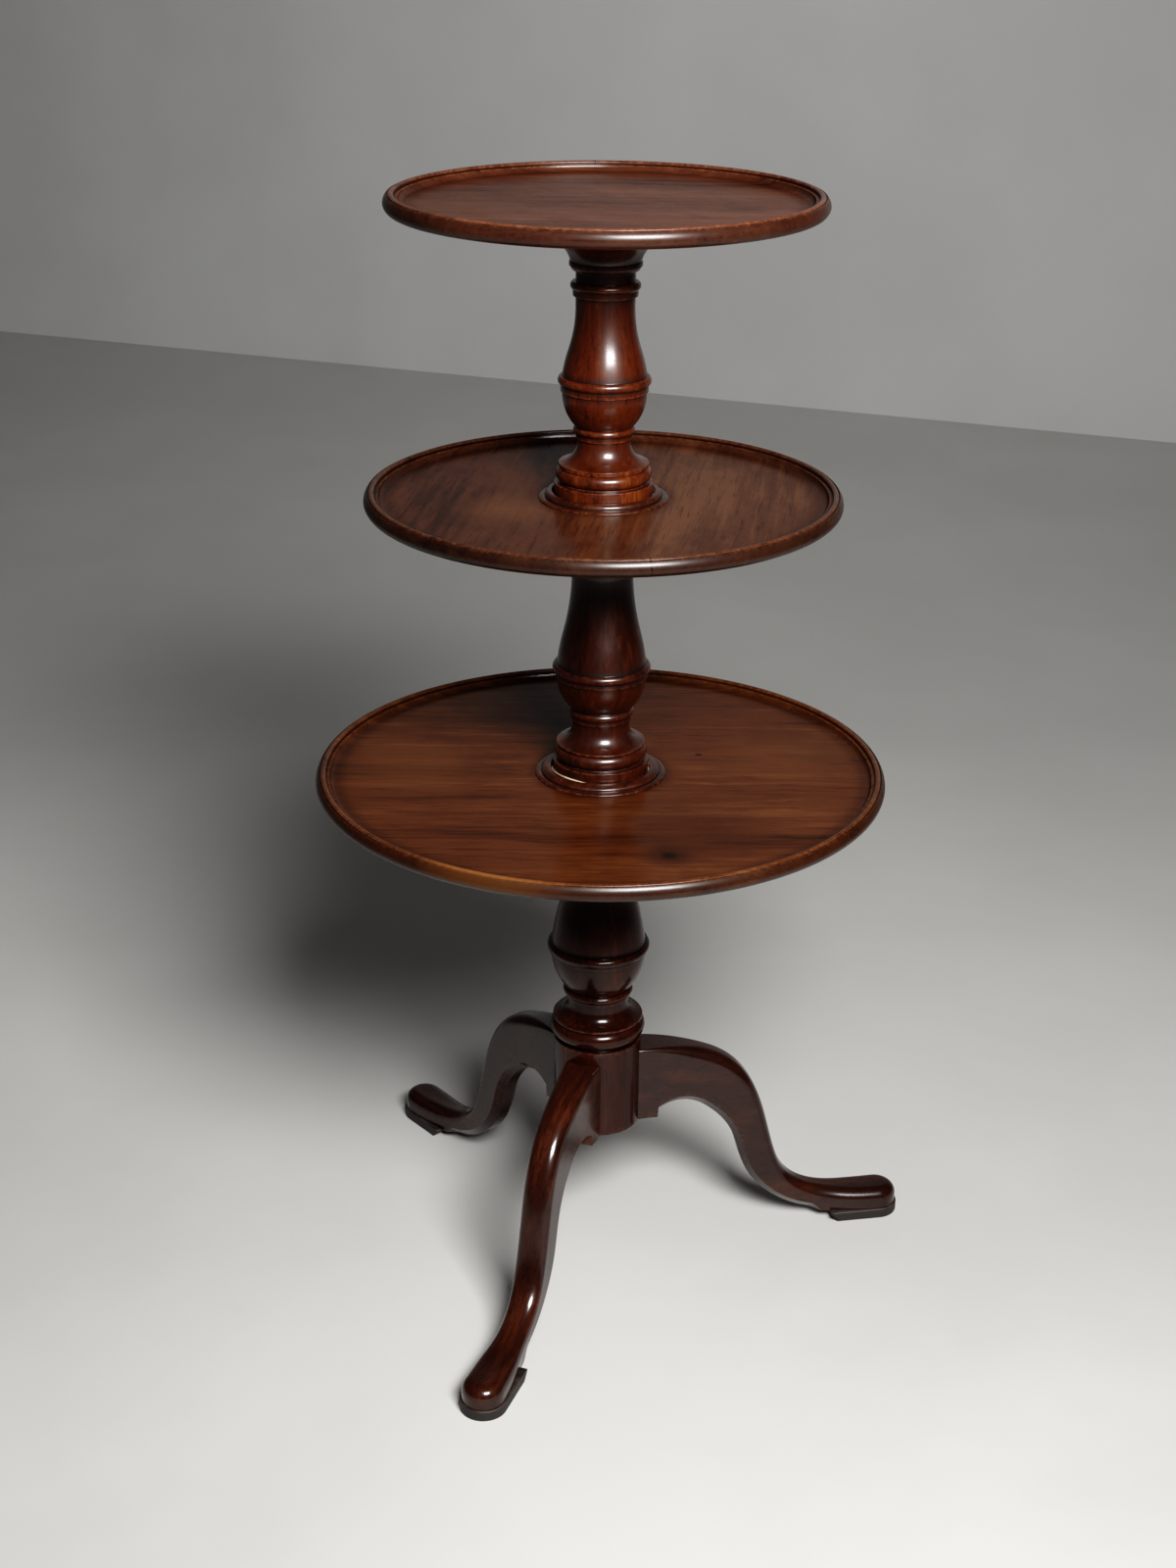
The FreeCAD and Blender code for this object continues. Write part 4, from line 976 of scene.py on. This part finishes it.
# Middle tray: a narrower mahogany board, dished to the same mouldings, its grain running to the front.
# The rim has a shrinkage crack at the front, dark with old wax.
MIDDLE_RADIUS = 241.2
THIN_BOARD = 9.0
GRAIN_FORWARD = (1.0, 0.06, 1.0)
MIDDLE_GRAIN_TURN = math.radians(-12)
middle_dark = (0.0220, 0.0070, 0.0034)
middle_warm = (0.0560, 0.0190, 0.0090)
middle_light = (0.0980, 0.0370, 0.0175)
middle_rubbed = (0.120, 0.0430, 0.0190)
rub = ((-0.071, -0.076, 0.881), 0.005, 0.075, middle_rubbed, 0.5)
rim_crack = (math.radians(-59.5), 0.222, 0.0011)
middle_woods = board_woods("middle tray", middle_dark, middle_warm, middle_light, GRAIN_FORWARD,
                           MIDDLE_GRAIN_TURN, BOARD_WEAR, (rub,), cracks=(rim_crack,))
tray("middle_tray", MIDDLE_RADIUS, THIN_BOARD, middle_woods, "middle_tier",
     shade_and_wax_ring=collar_edge(UPPER_PLINTH, MIDDLE_COLLAR_WIDTH))

# Upper pillar: the slimmest baluster, of mahogany too, glued on the middle spigot.
# A short spigot on its top carries the bearer of the top tray.
post_dark = (0.0155, 0.0028, 0.0009)
post_warm = (0.0580, 0.0108, 0.0024)
post_light = (0.1300, 0.0320, 0.0070)
post_wood = mahogany("upper pillar mahogany", post_dark, post_warm, post_light, UPRIGHT_GRAIN,
                     figure=POST_FIGURE, film=POST_FILM, sheen=POST_SHEEN)
upper_rows = pillar_rows(
    *ends("upper_pillar"), socket=PILLAR_SOCKET, plinth=(UPPER_PLINTH, 15), quirk=1.5, torus=(48.5, 14.5),
    fillet=4, scotia=(44.2, 20), neck=(26.7, 4.5), ring=(5.5, 2.7, 7), cup=(29, 35), belly=42.3,
    belt=(6.5, 2.8, 9), shoulder=(36.5, 24.5), throat=(29.4, 50), collarino=4, astragal=(6, 2.5, 8),
    band=9.5, echinus=5.5, annulet=4, capital=(49, 19), abacus=8)
turnery("upper_pillar_turned", upper_rows, post_wood, "stand", "upper_pillar")

# Bearer: a thick turned block of mahogany, screwed under the top tray and bored to turn on the last spigot.
# Its edge is rounded under, so it is hardly seen.
BEARER_RADIUS = 80.0
BEARER_EDGE = 9.0
BEARER_ROUND = 8.0
BEARER_SWELL = 2.2
BEARER_CAP = 3.5
BEARER_GRAIN = (0.1, 1.0, 1.0)
BEARER_GRAIN_TURN = 0.3
BEARER_FIGURE = 6.0
bearer_base, bearer_top = ends("top_bearer")
bearer_floor = bearer_top - BEARER_CAP
bearer_line = outline(
    (AXIS, bearer_floor), (BORE, bearer_floor), (BORE, bearer_base),
    (BEARER_RADIUS - BEARER_ROUND, bearer_base), (BEARER_RADIUS, bearer_base + BEARER_EDGE, BEARER_SWELL),
    (BEARER_RADIUS, bearer_top), (AXIS, bearer_top))
bearer_wood = mahogany("bearer mahogany", leg_dark, leg_warm, leg_light, BEARER_GRAIN, BEARER_GRAIN_TURN,
                       BEARER_FIGURE)
turnery("top_bearer_turned", soft_rows(bearer_line), bearer_wood, "top_tier", "top_bearer")

# Top tray: the smallest mahogany board, dished alike, with a closed floor screwed over its bearer.
# Its rim has the most scuffs, and a hair-fine split at the back.
TOP_RADIUS = 214.4
TOP_WEAR = 0.65
TOP_GRAIN_TURN = math.radians(-18)
top_dark = (0.0340, 0.0095, 0.0050)
top_warm = (0.0950, 0.0300, 0.0150)
top_light = (0.1600, 0.0580, 0.0300)
rim_split = (math.radians(113.2), 0.194, 0.0009)
top_woods = board_woods("top tray", top_dark, top_warm, top_light, GRAIN_ACROSS, TOP_GRAIN_TURN,
                        TOP_WEAR, cracks=(rim_split,))
tray("top_tray", TOP_RADIUS, THIN_BOARD, top_woods, "top_tier")

# Floor and wall: a pale painted floor that meets a plain grey wall well behind the table.
# Both are only the stage.
STAGE_REACH = 9.0
WALL_Y = 3.9
MOTTLE_SCALE = 1.3
DULL_RANGE = 0.1


def stage_sheet(name, corners, grey_paint, pale_paint, rough):
    """A flat sheet by its four corners, in faintly mottled paint."""
    mesh = bpy.data.meshes.new(name)
    mesh.from_pydata(corners, [], [(0, 1, 2, 3)])
    paint = Finish(name + " paint")
    mottle = paint.noise(paint.place, MOTTLE_SCALE, detail=5.0)
    colour = paint.blend(paint.span(mottle, low=0.35, high=0.65), grey_paint, pale_paint)
    paint.dress(colour, mottle, smoothest=rough, dullest=rough + DULL_RANGE)
    mesh.materials.append(paint.material)
    sheet = bpy.data.objects.new(name, mesh)
    bpy.context.scene.collection.objects.link(sheet)


near, far = -STAGE_REACH, STAGE_REACH
floor_corners = [(near, near, 0), (far, near, 0), (far, WALL_Y, 0), (near, WALL_Y, 0)]
wall_corners = [(near, WALL_Y, 0), (far, WALL_Y, 0), (far, WALL_Y, far), (near, WALL_Y, far)]
floor_grey = (0.50, 0.495, 0.475)
floor_pale = (0.54, 0.535, 0.515)
wall_grey = (0.56, 0.555, 0.55)
wall_pale = (0.60, 0.595, 0.59)
stage_sheet("floor", floor_corners, floor_grey, floor_pale, rough=0.5)
stage_sheet("wall", wall_corners, wall_grey, wall_pale, rough=0.7)

# Light: one broad soft lamp high at the front right, with a hood that keeps it on the table,
# a weaker one behind the table for the wall, and a dim even room.
CAMERA_BEARING = math.radians(19.761)


def lamp(name, degrees_right, out, height, width, tall, watts, hood, aim):
    """An area lamp that faces a point. It stands at a bearing to the right of the camera's side, at a
    distance from the column, beyond it where negative, and at a height."""
    turn = CAMERA_BEARING + math.radians(degrees_right)
    place = np.array([out * math.sin(turn), -out * math.cos(turn), height])
    back = (place - aim) / np.linalg.norm(place - aim)
    right = np.cross((0.0, 0.0, 1.0), back)
    right = right / np.linalg.norm(right)
    light = bpy.data.lights.new(name, "AREA")
    light.shape = "RECTANGLE"
    light.size = width
    light.size_y = tall
    light.energy = watts
    light.spread = math.radians(hood)
    holder = bpy.data.objects.new(name, light)
    pose = np.eye(4)
    pose[:3] = np.stack([right, np.cross(back, right), back, place], axis=1)
    holder.matrix_world = Matrix(pose.tolist())
    bpy.context.scene.collection.objects.link(holder)


lamp("key lamp", degrees_right=18, out=2.15, height=2.2, width=1.1, tall=0.9, watts=86, hood=130,
     aim=(-0.05, 0.0, 0.4))
lamp("wall lamp", degrees_right=10, out=-1.2, height=2.4, width=1.5, tall=1.0, watts=9, hood=120,
     aim=(-1.3, WALL_Y, 1.5))
ROOM_GREY = (0.05, 0.05, 0.05, 1)
room = bpy.data.worlds.new("room")
room.use_nodes = True
room.node_tree.nodes["Background"].inputs["Color"].default_value = ROOM_GREY
bpy.context.scene.world = room
# the darkest tones are pressed down, as film does, on the curve for all colours
TONE_POINTS = ((0.02, 0.009), (0.08, 0.066), (0.25, 0.25))
ALL_COLOURS = 3
view = bpy.context.scene.view_settings
view.view_transform = "Standard"
view.use_curve_mapping = True
tone = view.curve_mapping.curves[ALL_COLOURS]
for dim, shown in TONE_POINTS:
    tone.points.new(dim, shown)
view.curve_mapping.update()

# Camera: at the height of a standing eye, looking down a little.
# Its place and lens were fitted to the outlines of the trays and feet.
CAMERA_DISTANCE = 2.2154
CAMERA_HEIGHT = 1.5219
PITCH = math.radians(23.341)
ROLL = math.radians(0.502)
YAW = math.radians(-0.336)
FOCAL_PIXELS = 2316.7
IMAGE_HEIGHT = 1600
SENSOR = 36.0
eye = bpy.data.cameras.new("camera")
eye.sensor_fit = "VERTICAL"
eye.sensor_height = SENSOR
eye.lens = FOCAL_PIXELS / IMAGE_HEIGHT * SENSOR
level_forward = np.array([math.sin(YAW), math.cos(YAW), 0.0])
forward = math.cos(PITCH) * level_forward - np.array([0.0, 0.0, math.sin(PITCH)])
level_right = np.array([math.cos(YAW), -math.sin(YAW), 0.0])
level_up = np.cross(level_right, forward)
camera_right = math.cos(ROLL) * level_right + math.sin(ROLL) * level_up
camera_up = math.cos(ROLL) * level_up - math.sin(ROLL) * level_right
eye_place = np.array([0.0, -CAMERA_DISTANCE, CAMERA_HEIGHT])
pose = np.eye(4)
pose[:3] = np.stack([camera_right, camera_up, -forward, eye_place], axis=1)
camera = bpy.data.objects.new("camera", eye)
camera.matrix_world = Matrix.Rotation(CAMERA_BEARING, 4, "Z") @ Matrix(pose.tolist())
bpy.context.scene.collection.objects.link(camera)
bpy.context.scene.camera = camera
